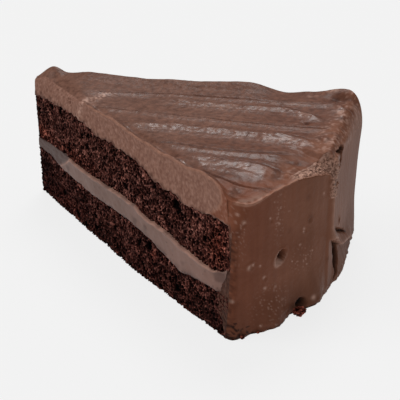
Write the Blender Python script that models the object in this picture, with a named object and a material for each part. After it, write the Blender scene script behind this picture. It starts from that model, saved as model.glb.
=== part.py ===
"""A slice of two-layer chocolate cake, one wedge of a 254 mm round cake.

The slice stands on z = 0. Its tip points to -X and its frosted rim to +X. One cut face
looks to -Y and the other to +Y. Every length is in metres.

The shape is worked out in polar coordinates about the middle of the cake, which is the
tip of the wedge: a distance from the tip, a turn from the middle of the wedge, and a height.
"""
import math

import bmesh
import bpy
import numpy as np
from mathutils import Matrix

MM = 0.001

# The whole cake, and the wedge that is cut from it
CAKE_RADIUS = 127.0 * MM
WEDGE_ANGLE = math.radians(41.0)
TIP_X = -64.8 * MM
TIP_Y = 1.8 * MM
TIP_BLUNTNESS = 1.2 * MM
TIP_STRETCH = 0.9 * MM
TIP_STRETCH_REACH = 12.0 * MM
CAKE_HEIGHT = 50.0 * MM
GAP = 0.3 * MM

# Heights of the layers where the near cut shows them: (distance from the tip, height)
FROSTING_UNDERSIDE = ((0, 40.0), (15, 41.0), (35, 40.6), (55, 39.7), (75, 38.9), (88, 36.9),
                      (103, 36.2), (116, 36.9), (127, 36.2))
FILLING_TOP = ((0, 24.0), (12, 22.9), (30, 22.9), (65, 24.5), (82, 22.6), (103, 21.1), (127, 21.3))
FILLING_BOTTOM = ((0, 19.0), (12, 18.2), (26, 16.6), (50, 16.2), (58, 16.0), (68, 17.5),
                  (84, 15.8), (101, 12.2), (115, 13.7), (127, 13.3))

# The layers are level at the far cut, apart from a slow wave
FAR_FROSTING_UNDERSIDE = 39.2 * MM
FAR_FILLING_TOP = 22.4 * MM
FAR_FILLING_BOTTOM = 14.6 * MM
FAR_WAVE_HEIGHT = 0.7 * MM
FAR_WAVE_LENGTH = 58.0 * MM

# The frosted top: its level at the near cut, and how far it lies above that elsewhere
TOP_LEVEL = 47.4 * MM
FAR_RISE = 2.2 * MM
FAR_RISE_FROM = 15.0 * MM
FAR_RISE_TO = 75.0 * MM
TIP_RISE = 2.3 * MM
TIP_RISE_FROM = 10.0 * MM
TIP_RISE_TO = 55.0 * MM
TIP_DROP = 4.4 * MM
TIP_DROP_REACH = 8.0 * MM
LIP_REACH = 6.0 * MM
RIM_DROP = 1.6 * MM
RIM_DROP_FROM = 113.0 * MM
RIM_DROP_TO = 124.0 * MM

# Height of the pushed-up lip along each cut: (distance from the tip, height)
NEAR_LIP = ((0, 0.2), (45, 0.2), (58, 1.0), (72, -0.2), (98, -0.6), (112, 1.0), (127, 0.4))
FAR_LIP = ((0, 1.6), (8, 2.1), (14, 0.0), (24, 1.5), (42, 1.7), (60, 2.1), (82, 2.6), (96, -0.5),
           (104, 0.3), (117, 2.3), (127, 2.3))

# Ridges between the strokes of the spatula: start, end, height and half width.
# Each place is a distance along the middle of the wedge and a distance to its side.
RIDGES = (
    ((24, -3), (110, 31), 1.0, 2.4),
    ((72, 9), (112, 19), 0.7, 2.2),
    ((38, -16), (121, 9), 1.0, 2.6),
    ((60, -19), (120, 1), 0.8, 2.4),
    ((72, -26), (116, -12), 0.9, 2.2),
    ((88, -35), (122, -25), 0.8, 2.6),
)
RIDGE_FADE = 12.0 * MM

# The scoop in the top beside the near corner
SCOOP_X = 106.0 * MM
SCOOP_Y = -33.5 * MM
SCOOP_TURN = math.radians(14.0)
SCOOP_LENGTH = 15.0 * MM
SCOOP_WIDTH = 4.5 * MM
SCOOP_DEPTH = 1.8 * MM

# The rim. Its flat side begins at the ridge and runs to the far cut.
FLAT_SIDE_DISTANCE = 122.4 * MM
FLAT_SIDE_NORMAL = math.radians(18.1)
RIDGE_TURN = math.radians(0.6)
RIDGE_STEP = math.radians(1.0)
RIDGE_SWELL = 1.3 * MM
SWELL_FROM = math.radians(-13.0)
WALL_THICKNESS = 5.4 * MM
NEAR_WALL_THICKNESS = 3.2 * MM
NEAR_WALL_REACH = math.radians(5.0)
CORE_LEAN = 2.6 * MM
FLAT_SIDE_LEAN = 1.3 * MM
FLAT_SIDE_LEAN_FROM = 22.0 * MM
FOOT_HEIGHT = 14.0 * MM
# How far the foot stands out: (distance round the rim, distance)
FOOT_BULGE = ((-46, 0.5), (-40, 0.6), (-30, 3.2), (-22, 0.6), (-12, 2.2), (-4, -0.4), (2, -1.0),
              (7, 0.9), (14, 0.8), (46, 0.6))
# The rounded corners at the two cuts: (height, radius)
NEAR_CORNER = ((0, 3.0), (12, 1.8), (36, 1.8), (44, 6.0), (52, 6.0))
FAR_CORNER = ((0, 5.5), (14, 4.0), (24, 2.4), (42, 2.4), (50, 6.0))
CORNER_ROUNDNESS = 0.9

# Where the wall begins under the top edge: (distance round the rim, height)
WALL_TOP = ((-46, 44.0), (-40, 43.4), (-30, 45.2), (-20, 45.4), (-10, 42.4), (-1, 37.0),
            (2, 37.0), (5, 45.5), (20, 46.8), (46, 48.0))
# How far the top edge lies inside the wall: (distance round the rim, distance)
EDGE_SETBACK = ((-46, 2.4), (-23, 2.4), (-17, 5.0), (0, 6.0), (4, 2.4), (46, 2.2))
TORN_FROM = math.radians(-9.4)
TORN_TO = math.radians(1.6)
TORN_ROUGHNESS = 0.5 * MM

# How far the foot of each cut stands out past its top: (distance from the tip, distance)
NEAR_LEAN = ((0, 0.3), (20, 1.3), (48, 2.6), (75, 3.4), (100, 2.9), (127, 2.0))
FAR_LEAN = ((0, 0.3), (60, 1.2), (127, 0.8))
LEAN_HEIGHT = 46.0 * MM
# The share of each half of the wedge, from its cut inwards, that leans with the cut
LEAN_SHARE = 0.7
# The crumb's relief on the sponges' cut faces
CRUMB_ROUGHNESS = 0.4 * MM

# The pit, the crack and the groove in the rim: place round the rim, height and size
PIT_ROUND = -27.0 * MM
PIT_HEIGHT = 22.0 * MM
PIT_RADIUS = 2.4 * MM
PIT_DEPTH = 2.4 * MM
PIT_STRETCH = 1.25
PIT_TURN = math.radians(24.0)
CRACK_START = (2.5 * MM, 18.5 * MM)
CRACK_END = (21.0 * MM, 10.5 * MM)
CRACK_WIDTH = 1.5 * MM
GROOVE_START = (4.6 * MM, -1.0 * MM)
GROOVE_END = (3.6 * MM, 15.5 * MM)
GROOVE_WIDTH = 2.2 * MM
CUT_DEPTH = 2.6 * MM

# Mesh cells: those that the layers share, and how many times finer the frosting's skin is
CELLS_ALONG = 18
CELLS_DOWN_WALL = 6
CELLS_ACROSS = 14
CELLS_UP_SPONGE = 3
SKIN_DETAIL = 3
SKIN_EDGE_CELLS = 3
SHARP_ANGLE = math.radians(40)
RANDOM_SEED = 7

# Materials: colour, roughness
MATERIALS = {
    "frosting": ((0.155, 0.082, 0.060, 1.0), 0.42),
    "filling": ((0.125, 0.076, 0.062, 1.0), 0.50),
    "sponge": ((0.040, 0.018, 0.013, 1.0), 0.90),
}


def ease(value):
    """A smooth step from 0 to 1 as the value goes from 0 to 1."""
    value = np.clip(value, 0.0, 1.0)
    return value * value * (3.0 - 2.0 * value)


def rise(value, start, end):
    """0 before start, 1 after end, and smooth between them."""
    return ease((value - start) / (end - start))


def profile(knots, distance):
    """A smooth line through knots given in millimetres, read at distances in metres."""
    places = np.array([knot[0] for knot in knots]) * MM
    values = np.array([knot[1] for knot in knots]) * MM
    distance = np.clip(distance, places[0], places[-1])
    after = np.clip(np.searchsorted(places, distance), 1, len(places) - 1)
    share = ease((distance - places[after - 1]) / (places[after] - places[after - 1]))
    return values[after - 1] + share * (values[after] - values[after - 1])


def turn_of(side):
    """The turn about the tip, from side -1 at the near cut to 1 at the far cut."""
    return side * WEDGE_ANGLE / 2


def layer_height(near_knots, far_level, reach, side):
    """Height of the face between two layers at a distance from the tip."""
    near = profile(near_knots, reach)
    far = far_level + FAR_WAVE_HEIGHT * np.sin(2 * math.pi * reach / FAR_WAVE_LENGTH)
    return near + ease((side + 1.0) / 2) * (far - near)


def ridge_height(x, y):
    """The ridges that the spatula left between its strokes."""
    height = np.zeros_like(x)
    for start, end, ridge, width in RIDGES:
        start = np.array(start) * MM
        run = np.array(end) * MM - start
        length = float(np.hypot(*run))
        along = ((x - start[0]) * run[0] + (y - start[1]) * run[1]) / length
        across = ((y - start[1]) * run[0] - (x - start[0]) * run[1]) / length
        ends = rise(along, -RIDGE_FADE, RIDGE_FADE) * rise(length + RIDGE_FADE - along, 0, RIDGE_FADE)
        height += ridge * MM * ends * np.exp(-(across / (width * MM)) ** 2)
    return height


def scoop_height(x, y):
    """The shallow scoop beside the near corner, as a height below the top."""
    cos_turn = math.cos(SCOOP_TURN)
    sin_turn = math.sin(SCOOP_TURN)
    along = (x - SCOOP_X) * cos_turn + (y - SCOOP_Y) * sin_turn
    across = (y - SCOOP_Y) * cos_turn - (x - SCOOP_X) * sin_turn
    return -SCOOP_DEPTH * np.exp(-(along / SCOOP_LENGTH) ** 2 - (across / SCOOP_WIDTH) ** 2)


def top_height(reach, side):
    """Height of the frosted top at a distance from the tip."""
    turn = turn_of(side)
    x = reach * np.cos(turn)
    y = reach * np.sin(turn)
    from_near = reach * np.sin(turn + WEDGE_ANGLE / 2)
    from_far = reach * np.sin(WEDGE_ANGLE / 2 - turn)
    height = TOP_LEVEL + FAR_RISE * rise(from_near, FAR_RISE_FROM, FAR_RISE_TO)
    height = height + TIP_RISE * (1 - rise(reach, TIP_RISE_FROM, TIP_RISE_TO))
    height = height - TIP_DROP * (1 - rise(reach, 0, TIP_DROP_REACH))
    near_rim = 1 - rise(turn, RIDGE_TURN, RIDGE_TURN + RIDGE_STEP)
    height = height - RIM_DROP * rise(reach, RIM_DROP_FROM, RIM_DROP_TO) * near_rim
    height = height + profile(NEAR_LIP, reach) * (1 - rise(from_near, 0, LIP_REACH))
    height = height + profile(FAR_LIP, reach) * (1 - rise(from_far, 0, LIP_REACH))
    return height + ridge_height(x, y) + scoop_height(x, y)


def smooth_rim(turn):
    """Radius of the rim without its foot and corners: an arc, then a flat side."""
    arc = CAKE_RADIUS + RIDGE_SWELL * rise(turn, SWELL_FROM, RIDGE_TURN)
    flat = FLAT_SIDE_DISTANCE / np.cos(turn - FLAT_SIDE_NORMAL)
    past_ridge = rise(turn, RIDGE_TURN, RIDGE_TURN + RIDGE_STEP)
    return arc + past_ridge * (flat - arc)


def corner_loss(turn, height):
    """How much the rounded corners at the two cuts take off the rim."""
    loss = np.zeros_like(turn + height)
    for cut_turn, sizes in ((-WEDGE_ANGLE / 2, NEAR_CORNER), (WEDGE_ANGLE / 2, FAR_CORNER)):
        size = profile(sizes, height)
        share = np.clip(1 - np.abs(turn - cut_turn) * CAKE_RADIUS / size, 0, 1)
        loss = loss + CORNER_ROUNDNESS * size * (1 - np.sqrt(1 - share * share))
    return loss


def rim_radius(turn, height):
    """Radius of the outer face of the frosting wall."""
    foot = profile(FOOT_BULGE, turn * CAKE_RADIUS) * (1 - rise(height, 0, FOOT_HEIGHT))
    lean = FLAT_SIDE_LEAN * rise(height, FLAT_SIDE_LEAN_FROM, CAKE_HEIGHT) * rise(turn, 0, WEDGE_ANGLE / 2)
    return smooth_rim(turn) + foot + lean - corner_loss(turn, height)


def core_radius(turn, height):
    """Radius of the sponge and filling inside the frosting wall."""
    near_share = 1 - rise(turn, -WEDGE_ANGLE / 2, -WEDGE_ANGLE / 2 + NEAR_WALL_REACH)
    thickness = WALL_THICKNESS + near_share * (NEAR_WALL_THICKNESS - WALL_THICKNESS)
    lean = CORE_LEAN * (1 - height / FAR_FROSTING_UNDERSIDE)
    return smooth_rim(turn) - thickness - lean


def place(reach, side, height):
    """Points in space for a distance from the tip, a side from -1 to 1, and a height."""
    turn = turn_of(side)
    low = np.clip(1 - height / LEAN_HEIGHT, 0, 1)
    near = profile(NEAR_LEAN, reach) * low * rise(-side, 1 - LEAN_SHARE, 1)
    far = profile(FAR_LEAN, reach) * low * rise(side, 1 - LEAN_SHARE, 1)
    half = WEDGE_ANGLE / 2
    stretch = TIP_STRETCH * (1 - rise(reach, 0, TIP_STRETCH_REACH))
    x = reach * np.cos(turn) - (near + far) * math.sin(half) - stretch
    y = reach * np.sin(turn) + (far - near) * math.cos(half)
    return np.stack([x + TIP_X, y + TIP_Y, height + 0 * x], axis=-1)


def core_grid(height_at):
    """Reach, side and height of a face that the core layers share."""
    side = np.linspace(-1, 1, CELLS_ACROSS + 1)[None, :]
    share = np.linspace(0, 1, CELLS_ALONG + 1)[:, None]
    reach = np.full((CELLS_ALONG + 1, CELLS_ACROSS + 1), CAKE_RADIUS)
    for _settle in range(2):
        rim = core_radius(turn_of(side[0]), height_at(reach[-1], side[0]))
        reach = TIP_BLUNTNESS + share * (rim[None, :] - TIP_BLUNTNESS)
    return reach, side + 0 * reach, height_at(reach, side + 0 * reach)


def upper_sponge_top(reach, side):
    return layer_height(FROSTING_UNDERSIDE, FAR_FROSTING_UNDERSIDE, reach, side)


def filling_top(reach, side):
    return layer_height(FILLING_TOP, FAR_FILLING_TOP, reach, side)


def filling_bottom(reach, side):
    return layer_height(FILLING_BOTTOM, FAR_FILLING_BOTTOM, reach, side)


def cake_foot(reach, side):
    return np.zeros_like(reach + side)


def new_object(name, points, faces, material):
    """A closed, triangulated object from points and faces, its faces turned outwards."""
    mesh = bpy.data.meshes.new(name)
    mesh.from_pydata([tuple(point) for point in points], [], faces)
    mesh.materials.append(material)
    body = bmesh.new()
    body.from_mesh(mesh)
    bmesh.ops.recalc_face_normals(body, faces=body.faces)
    bmesh.ops.triangulate(body, faces=body.faces)
    body.to_mesh(mesh)
    body.free()
    mesh.shade_smooth()
    mesh.set_sharp_from_angle(angle=SHARP_ANGLE)
    piece = bpy.data.objects.new(name, mesh)
    bpy.context.scene.collection.objects.link(piece)
    return piece


def layer(name, bottom_at, top_at, cells_up, roughness, material, rng):
    """A core layer: a box of cells bent to the wedge, with crumb relief on its two cuts."""
    low = core_grid(bottom_at)
    high = core_grid(top_at)
    low_gap = GAP / 2 if bottom_at is not cake_foot else 0.0
    levels = []
    for step in range(cells_up + 1):
        share = step / cells_up
        reach = low[0] + share * (high[0] - low[0])
        height = low[2] + low_gap + share * (high[2] - GAP / 2 - low[2] - low_gap)
        levels.append(place(reach, low[1], height))
    grid = np.stack(levels, axis=2)
    for column, hand in ((0, -1), (-1, 1)):
        crumb = rng.uniform(-roughness, roughness, (grid.shape[0], grid.shape[2]))
        grid[:, column, :, 0] -= crumb * math.sin(WEDGE_ANGLE / 2)
        grid[:, column, :, 1] += crumb * math.cos(WEDGE_ANGLE / 2) * hand
    return new_object(name, *box_faces(grid), material)


def box_faces(grid):
    """Points and outer faces of a bent box, whose grid has one axis for each direction."""
    along, across, up = grid.shape[0:3]
    numbers = np.arange(along * across * up).reshape(along, across, up)
    used = {}
    faces = []
    sides = (numbers[0], numbers[-1], numbers[:, 0], numbers[:, -1], numbers[:, :, 0], numbers[:, :, -1])
    for side in sides:
        for row in range(side.shape[0] - 1):
            for column in range(side.shape[1] - 1):
                corners = (side[row, column], side[row + 1, column],
                           side[row + 1, column + 1], side[row, column + 1])
                faces.append([used.setdefault(int(corner), len(used)) for corner in corners])
    points = grid.reshape(-1, 3)[list(used)]
    return points, faces


def frosting_inside():
    """The face of the frosting that covers the sponge, from the tip to the foot of the wall."""
    reach, side, height = core_grid(upper_sponge_top)
    top = place(reach, side, height + GAP / 2)
    share = np.linspace(1, 0, CELLS_DOWN_WALL + 1)[:, None]
    wall_height = share * (height[-1] + GAP / 2)[None, :]
    wall_side = side[-1][None, :] + 0 * wall_height
    wall_reach = core_radius(turn_of(wall_side), wall_height) + GAP
    top[-1] = place(wall_reach[0], wall_side[0], wall_height[0])
    wall = place(wall_reach, wall_side, wall_height)
    return np.concatenate([top, wall[1:]], axis=0)


def frosting_skin(rng):
    """The outer face of the frosting: the top, its rounded or torn edge, and the wall."""
    across = CELLS_ACROSS * SKIN_DETAIL
    top_cells = CELLS_ALONG * SKIN_DETAIL - SKIN_EDGE_CELLS
    wall_cells = CELLS_DOWN_WALL * SKIN_DETAIL - SKIN_EDGE_CELLS
    side = np.linspace(-1, 1, across + 1)[None, :]
    turn = turn_of(side)
    round_rim = turn * CAKE_RADIUS
    wall_top = profile(WALL_TOP, round_rim)
    edge_reach = rim_radius(turn, wall_top) - profile(EDGE_SETBACK, round_rim)
    edge_height = top_height(edge_reach, side)

    share = np.linspace(0, 1, top_cells + 1)[:, None]
    reach = TIP_BLUNTNESS + share * (edge_reach - TIP_BLUNTNESS)
    top = place(reach, side + 0 * reach, top_height(reach, side))

    bend = np.linspace(0, math.pi / 2, 2 * SKIN_EDGE_CELLS + 1)[1:-1, None]
    straight = bend / (math.pi / 2)
    torn = rise(turn, TORN_FROM - RIDGE_STEP, TORN_FROM)
    torn = torn * (1 - rise(turn, TORN_TO, TORN_TO + RIDGE_STEP))
    out = np.sin(bend) + torn * (straight - np.sin(bend))
    down = 1 - np.cos(bend) + torn * (straight - 1 + np.cos(bend))
    edge_out = edge_reach + out * (rim_radius(turn, wall_top) - edge_reach)
    edge_down = edge_height + down * (wall_top - edge_height)
    edge_out = edge_out + torn * rng.uniform(-TORN_ROUGHNESS, TORN_ROUGHNESS, edge_out.shape)
    edge_down = edge_down + torn * rng.uniform(-TORN_ROUGHNESS, TORN_ROUGHNESS, edge_out.shape)
    edge = place(edge_out, side + 0 * edge_out, edge_down)

    wall_height = np.linspace(1, 0, wall_cells + 1)[:, None] * wall_top
    wall_side = side + 0 * wall_height
    wall = place(rim_radius(turn_of(wall_side), wall_height), wall_side, wall_height)
    return np.concatenate([top, edge, wall], axis=0)


def shell_faces(skin, inside):
    """Points and faces of a shell whose skin is a whole number of times finer than its inside."""
    fine = np.arange(skin.shape[0] * skin.shape[1]).reshape(skin.shape[0:2])
    coarse = np.arange(inside.shape[0] * inside.shape[1]).reshape(inside.shape[0:2]) + fine.size
    faces = []
    for grid in (fine, coarse):
        for row in range(grid.shape[0] - 1):
            for column in range(grid.shape[1] - 1):
                faces.append([int(grid[row, column]), int(grid[row + 1, column]),
                              int(grid[row + 1, column + 1]), int(grid[row, column + 1])])
    borders = ((fine[0], coarse[0]), (fine[-1], coarse[-1]),
               (fine[:, 0], coarse[:, 0]), (fine[:, -1], coarse[:, -1]))
    for outer, inner in borders:
        for cell in range(len(inner) - 1):
            run = outer[cell * SKIN_DETAIL:(cell + 1) * SKIN_DETAIL + 1]
            faces.append([int(number) for number in run] + [int(inner[cell + 1]), int(inner[cell])])
    return np.concatenate([skin.reshape(-1, 3), inside.reshape(-1, 3)]), faces


def rim_frame(round_rim, height):
    """A frame on the rim's outer face: X points out, Y round the rim and Z up."""
    turn = round_rim / CAKE_RADIUS
    side = turn / (WEDGE_ANGLE / 2)
    point = place(rim_radius(np.array(turn), height), np.array(side), height)
    return Matrix.Translation([float(value) for value in point]) @ Matrix.Rotation(turn, 4, "Z")


def cutter(name, body, frame):
    """A hidden cutter made from a bmesh body and moved to its frame."""
    bmesh.ops.recalc_face_normals(body, faces=body.faces)
    mesh = bpy.data.meshes.new(name)
    body.to_mesh(mesh)
    body.free()
    piece = bpy.data.objects.new(name, mesh)
    piece.matrix_world = frame
    piece.display_type = "WIRE"
    piece.hide_render = True
    bpy.context.scene.collection.objects.link(piece)
    return piece


def pit_cutter():
    """A leaning egg that leaves the pit in the rim."""
    body = bmesh.new()
    bmesh.ops.create_icosphere(body, subdivisions=2, radius=PIT_RADIUS)
    stretch = Matrix.Diagonal((PIT_DEPTH / PIT_RADIUS, 1.0, PIT_STRETCH, 1.0))
    bmesh.ops.transform(body, matrix=Matrix.Rotation(PIT_TURN, 4, "X") @ stretch, verts=body.verts)
    return cutter("pit_cutter", body, rim_frame(PIT_ROUND, PIT_HEIGHT))


def slit_cutter(name, start, end, width):
    """A wedge-shaped blade that leaves a slit between two places on the rim."""
    middle = ((start[0] + end[0]) / 2, (start[1] + end[1]) / 2)
    run = (end[0] - start[0], end[1] - start[1])
    length = math.hypot(*run)
    body = bmesh.new()
    blade = [body.verts.new(point) for point in (
        (CUT_DEPTH, -width, 0), (-CUT_DEPTH, 0, 0), (CUT_DEPTH, width, 0))]
    face = body.faces.new(blade)
    grown = bmesh.ops.extrude_face_region(body, geom=[face])
    moved = [item for item in grown["geom"] if isinstance(item, bmesh.types.BMVert)]
    bmesh.ops.translate(body, vec=(0, 0, length), verts=moved)
    bmesh.ops.translate(body, vec=(0, 0, -length / 2), verts=body.verts)
    lean = Matrix.Rotation(-math.atan2(run[0], run[1]), 4, "X")
    return cutter(name, body, rim_frame(*middle) @ lean)


def cut_away(piece, tool):
    """Takes the tool's shape out of the piece."""
    boolean = piece.modifiers.new(tool.name, "BOOLEAN")
    boolean.operation = "DIFFERENCE"
    boolean.solver = "EXACT"
    boolean.object = tool


def make_material(name):
    """A plain material with the colour and roughness of one kind of cake."""
    colour, roughness = MATERIALS[name]
    material = bpy.data.materials.new(name)
    material.use_nodes = True
    shader = material.node_tree.nodes["Principled BSDF"]
    shader.inputs["Base Color"].default_value = colour
    shader.inputs["Roughness"].default_value = roughness
    shader.inputs["Metallic"].default_value = 0.0
    return material


def clear_scene():
    for item in list(bpy.data.objects):
        bpy.data.objects.remove(item, do_unlink=True)


def main():
    clear_scene()
    rng = np.random.default_rng(RANDOM_SEED)
    sponge = make_material("sponge")
    filling = make_material("filling")
    frosting = make_material("frosting")

    layer("sponge_lower", cake_foot, filling_bottom, CELLS_UP_SPONGE, CRUMB_ROUGHNESS, sponge, rng)
    layer("filling", filling_bottom, filling_top, 1, 0.0, filling, rng)
    layer("sponge_upper", filling_top, upper_sponge_top, CELLS_UP_SPONGE, CRUMB_ROUGHNESS, sponge, rng)

    coat = new_object("frosting", *shell_faces(frosting_skin(rng), frosting_inside()), frosting)
    cut_away(coat, pit_cutter())
    cut_away(coat, slit_cutter("crack_cutter", CRACK_START, CRACK_END, CRACK_WIDTH))
    cut_away(coat, slit_cutter("groove_cutter", GROOVE_START, GROOVE_END, GROOVE_WIDTH))


main()
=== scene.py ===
"""The looks of the slice of chocolate cake: fine surfaces, finishes, light and camera.

The four solids of the frame are replaced by meshes of the same form with finer relief.
Lengths are in millimetres and become metres where a mesh or an object is made.

The shape is worked out in polar coordinates about the tip of the wedge: a distance from
the tip, a side from -1 at the near cut to 1 at the far cut, and a height.
"""

import functools
import math
from types import SimpleNamespace

import bmesh
import bpy
import numpy as np
from mathutils import Matrix, Vector, noise


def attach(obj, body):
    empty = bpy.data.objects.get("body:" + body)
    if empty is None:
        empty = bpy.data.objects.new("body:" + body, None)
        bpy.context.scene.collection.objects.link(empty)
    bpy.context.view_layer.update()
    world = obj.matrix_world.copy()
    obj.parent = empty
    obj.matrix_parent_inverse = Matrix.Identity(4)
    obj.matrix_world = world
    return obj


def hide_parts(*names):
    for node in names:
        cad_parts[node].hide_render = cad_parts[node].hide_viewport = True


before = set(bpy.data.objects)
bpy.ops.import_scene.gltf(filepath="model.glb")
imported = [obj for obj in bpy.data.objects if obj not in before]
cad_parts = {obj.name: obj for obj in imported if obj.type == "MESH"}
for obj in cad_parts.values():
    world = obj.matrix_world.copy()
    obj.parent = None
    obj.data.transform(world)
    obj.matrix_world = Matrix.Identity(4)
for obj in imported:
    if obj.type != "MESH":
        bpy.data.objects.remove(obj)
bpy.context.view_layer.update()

METRES = 0.001

# The cake and the wedge, as in the solids
CAKE_RADIUS = 127.0
WEDGE_ANGLE = math.radians(41.0)
HALF_WEDGE = WEDGE_ANGLE / 2
TIP = (-64.8, 1.8)
TIP_BLUNTNESS = 1.2
TIP_STRETCH = 0.9
TIP_STRETCH_REACH = 12.0
CAKE_HEIGHT = 50.0

# Heights of the layers where the near cut shows them: (distance from the tip, height)
FROSTING_UNDERSIDE = (
    (0, 41.0), (17, 41.6), (27, 42.0), (40, 41.3), (47, 40.1), (51, 39.7), (56, 40.4), (71, 40.1),
    (77, 39.3), (80, 38.4), (85, 37.1), (91, 36.6), (95, 37.3), (103, 35.8), (109, 36.9),
    (116, 37.6), (127, 37.2),
)
FILLING_TOP = (
    (0, 22.4), (6, 23.0), (15, 23.4), (25, 23.2), (36, 22.9), (54, 23.4), (64, 23.9), (74, 23.9),
    (78, 22.8), (82, 22.1), (87, 22.4), (95, 22.1), (100, 20.9), (107, 20.8), (113, 20.0),
    (117, 20.0), (121, 21.2), (124, 23.2), (127, 23.2),
)
FILLING_BOTTOM = (
    (0, 18.8), (9, 18.5), (18, 17.4), (24, 16.5), (36, 16.2), (45, 15.8), (64, 16.5), (71, 16.9),
    (77, 16.2), (85, 15.4), (90, 13.8), (95, 13.2), (102, 11.9), (106, 12.8), (114, 13.6),
    (127, 14.0),
)
FAR_FROSTING_UNDERSIDE = 39.2
FAR_FILLING_TOP = 22.4
FAR_FILLING_BOTTOM = 14.6
FAR_WAVE_HEIGHT = 0.7
FAR_WAVE_LENGTH = 58.0

# The frosted top: its level at the near cut, and how far it lies above that elsewhere
TOP_LEVEL = 47.4
FAR_RISE = 2.2
FAR_RISE_SPAN = (15.0, 75.0)
TIP_RISE = 2.3
TIP_RISE_SPAN = (10.0, 55.0)
TIP_DROP = 4.4
TIP_DROP_REACH = 8.0
LIP_REACH = 6.0
FAR_LIP_REACH = 15.0
FAR_LIP_SHARE = 0.5
RIM_DROP = 1.6
RIM_DROP_SPAN = (113.0, 124.0)
NEAR_LIP = ((0, 0.2), (45, 0.2), (58, 1.0), (72, -0.2), (98, -0.6), (112, 1.0), (127, 0.4))
FAR_LIP = ((0, 1.6), (8, 2.1), (14, 0.0), (24, 1.5), (42, 1.7), (60, 2.1), (82, 2.6), (96, -0.5),
           (104, 0.3), (117, 2.3), (127, 2.3))

# Ridges that the spatula left on the top. Each has its height, how far the slopes on its near
# and far side reach, how deep the furrow behind it is, how ragged and how glossy it is from
# 0 to 1, and places along its crest: a distance along the middle of the wedge and one to its side.
RIDGES = (
    (0.55, 2.6, 0.8, 0.5, 0.1, 0.3,
     ((28, -7.4), (39.6, 0.8), (49.5, 7.4), (59.3, 11.2), (69.1, 14.2), (78.9, 17.4), (88.8, 21.0),
      (98.6, 24.0), (105.5, 27.3), (110.4, 29.2))),
    (0.60, 2.8, 2.0, 0.0, 1.0, 0.6,
     ((54, 5.5), (60, 7.5), (70, 9.8), (80, 12.6), (87, 14.6), (95, 17.0))),
    (0.8, 1.9, 1.2, 0.2, 0.3, 1.0,
     ((92, 17.6), (98, 18.8), (104, 18.2), (112, 17.0))),
    (0.5, 2.2, 0.7, 0.6, 0.1, 0.2,
     ((39.6, -14.4), (49.5, -10.0), (59.3, -6.4), (69.1, -3.9), (78.9, -0.6), (88.8, 1.2),
      (98.6, 4.1), (108.4, 7.0), (118, 10.9))),
    (0.9, 3.4, 1.8, 0.1, 0.8, 0.9,
     ((58, -18.0), (66, -14.5), (75, -10.4), (82, -8.4), (90, -5.8), (97, -3.2), (104, -2.2),
      (110, 0.2))),
    (0.7, 3.6, 1.4, 0.2, 0.3, 1.0,
     ((104, -1.8), (108, -0.4), (113, 0.4), (119, -0.4))),
    (0.65, 2.0, 1.8, 0.5, 0.2, 0.6,
     ((74, -27.6), (83.9, -24.2), (93.7, -22.0), (98.6, -20.2), (104, -18.0), (110, -15.6),
      (116.3, -12.9))),
    (1.1, 5.0, 1.4, 0.25, 0.2, 1.0,
     ((83.0, -32.6), (88.8, -31.0), (94.7, -28.5), (101.6, -25.5), (108.4, -23.6), (114.3, -22.2),
      (120, -22.2))),
    (0.7, 3.0, 0.8, 0.8, 0.1, 0.1,
     ((97, -35.4), (103.5, -36.9), (110.4, -37.4), (116.3, -36.2), (121.5, -32.5))),
    (1.3, 3.8, 1.2, 0.4, 0.1, 1.0,
     ((107, 30.5), (113, 28.2), (118, 26.0), (124, 22.6))),
)
FURROW_PLACE = 1.5
FURROW_WIDTH = 0.6
RIDGE_FADE = 4.0
CREST_SMOOTHING = (-4.0, -2.0, 0.0, 2.0, 4.0)
STROKE_TURN = math.radians(18.0)

# Shallow scoops in the top: place, turn, length, width and depth
SCOOPS = ((110.2, 35.6, 0.48, 4.6, 2.2, 1.5), (109.4, 12.2, 0.2, 1.6, 0.8, 0.9),
          (121.0, -38.6, 1.3, 5.0, 2.2, 0.7), (119.0, 16.5, 1.2, 5.0, 2.6, 0.25))

# Low mounds on the top: place, radius and height
MOUNDS = (
    (119.8, -44.6, 2.6, 1.1), (120.4, -41.8, 1.3, 0.6), (103.6, -5.0, 1.6, 0.4),
    (72.0, 30.0, 3.0, 0.5), (49.0, 20.0, 4.0, 0.4), (69.4, 33.0, 0.9, 0.5), (115.0, 31.0, 1.4, 0.6),
    (34.0, -9.5, 1.0, 0.5), (36.5, -13.5, 1.1, 0.5), (37.6, -8.4, 1.0, 0.4),
    (121.4, -16.5, 1.2, 0.7), (121.8, -21.0, 1.2, 0.7), (122.6, 9.0, 1.4, 0.6),
    (120.6, 4.0, 1.2, 0.4),
)

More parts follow.
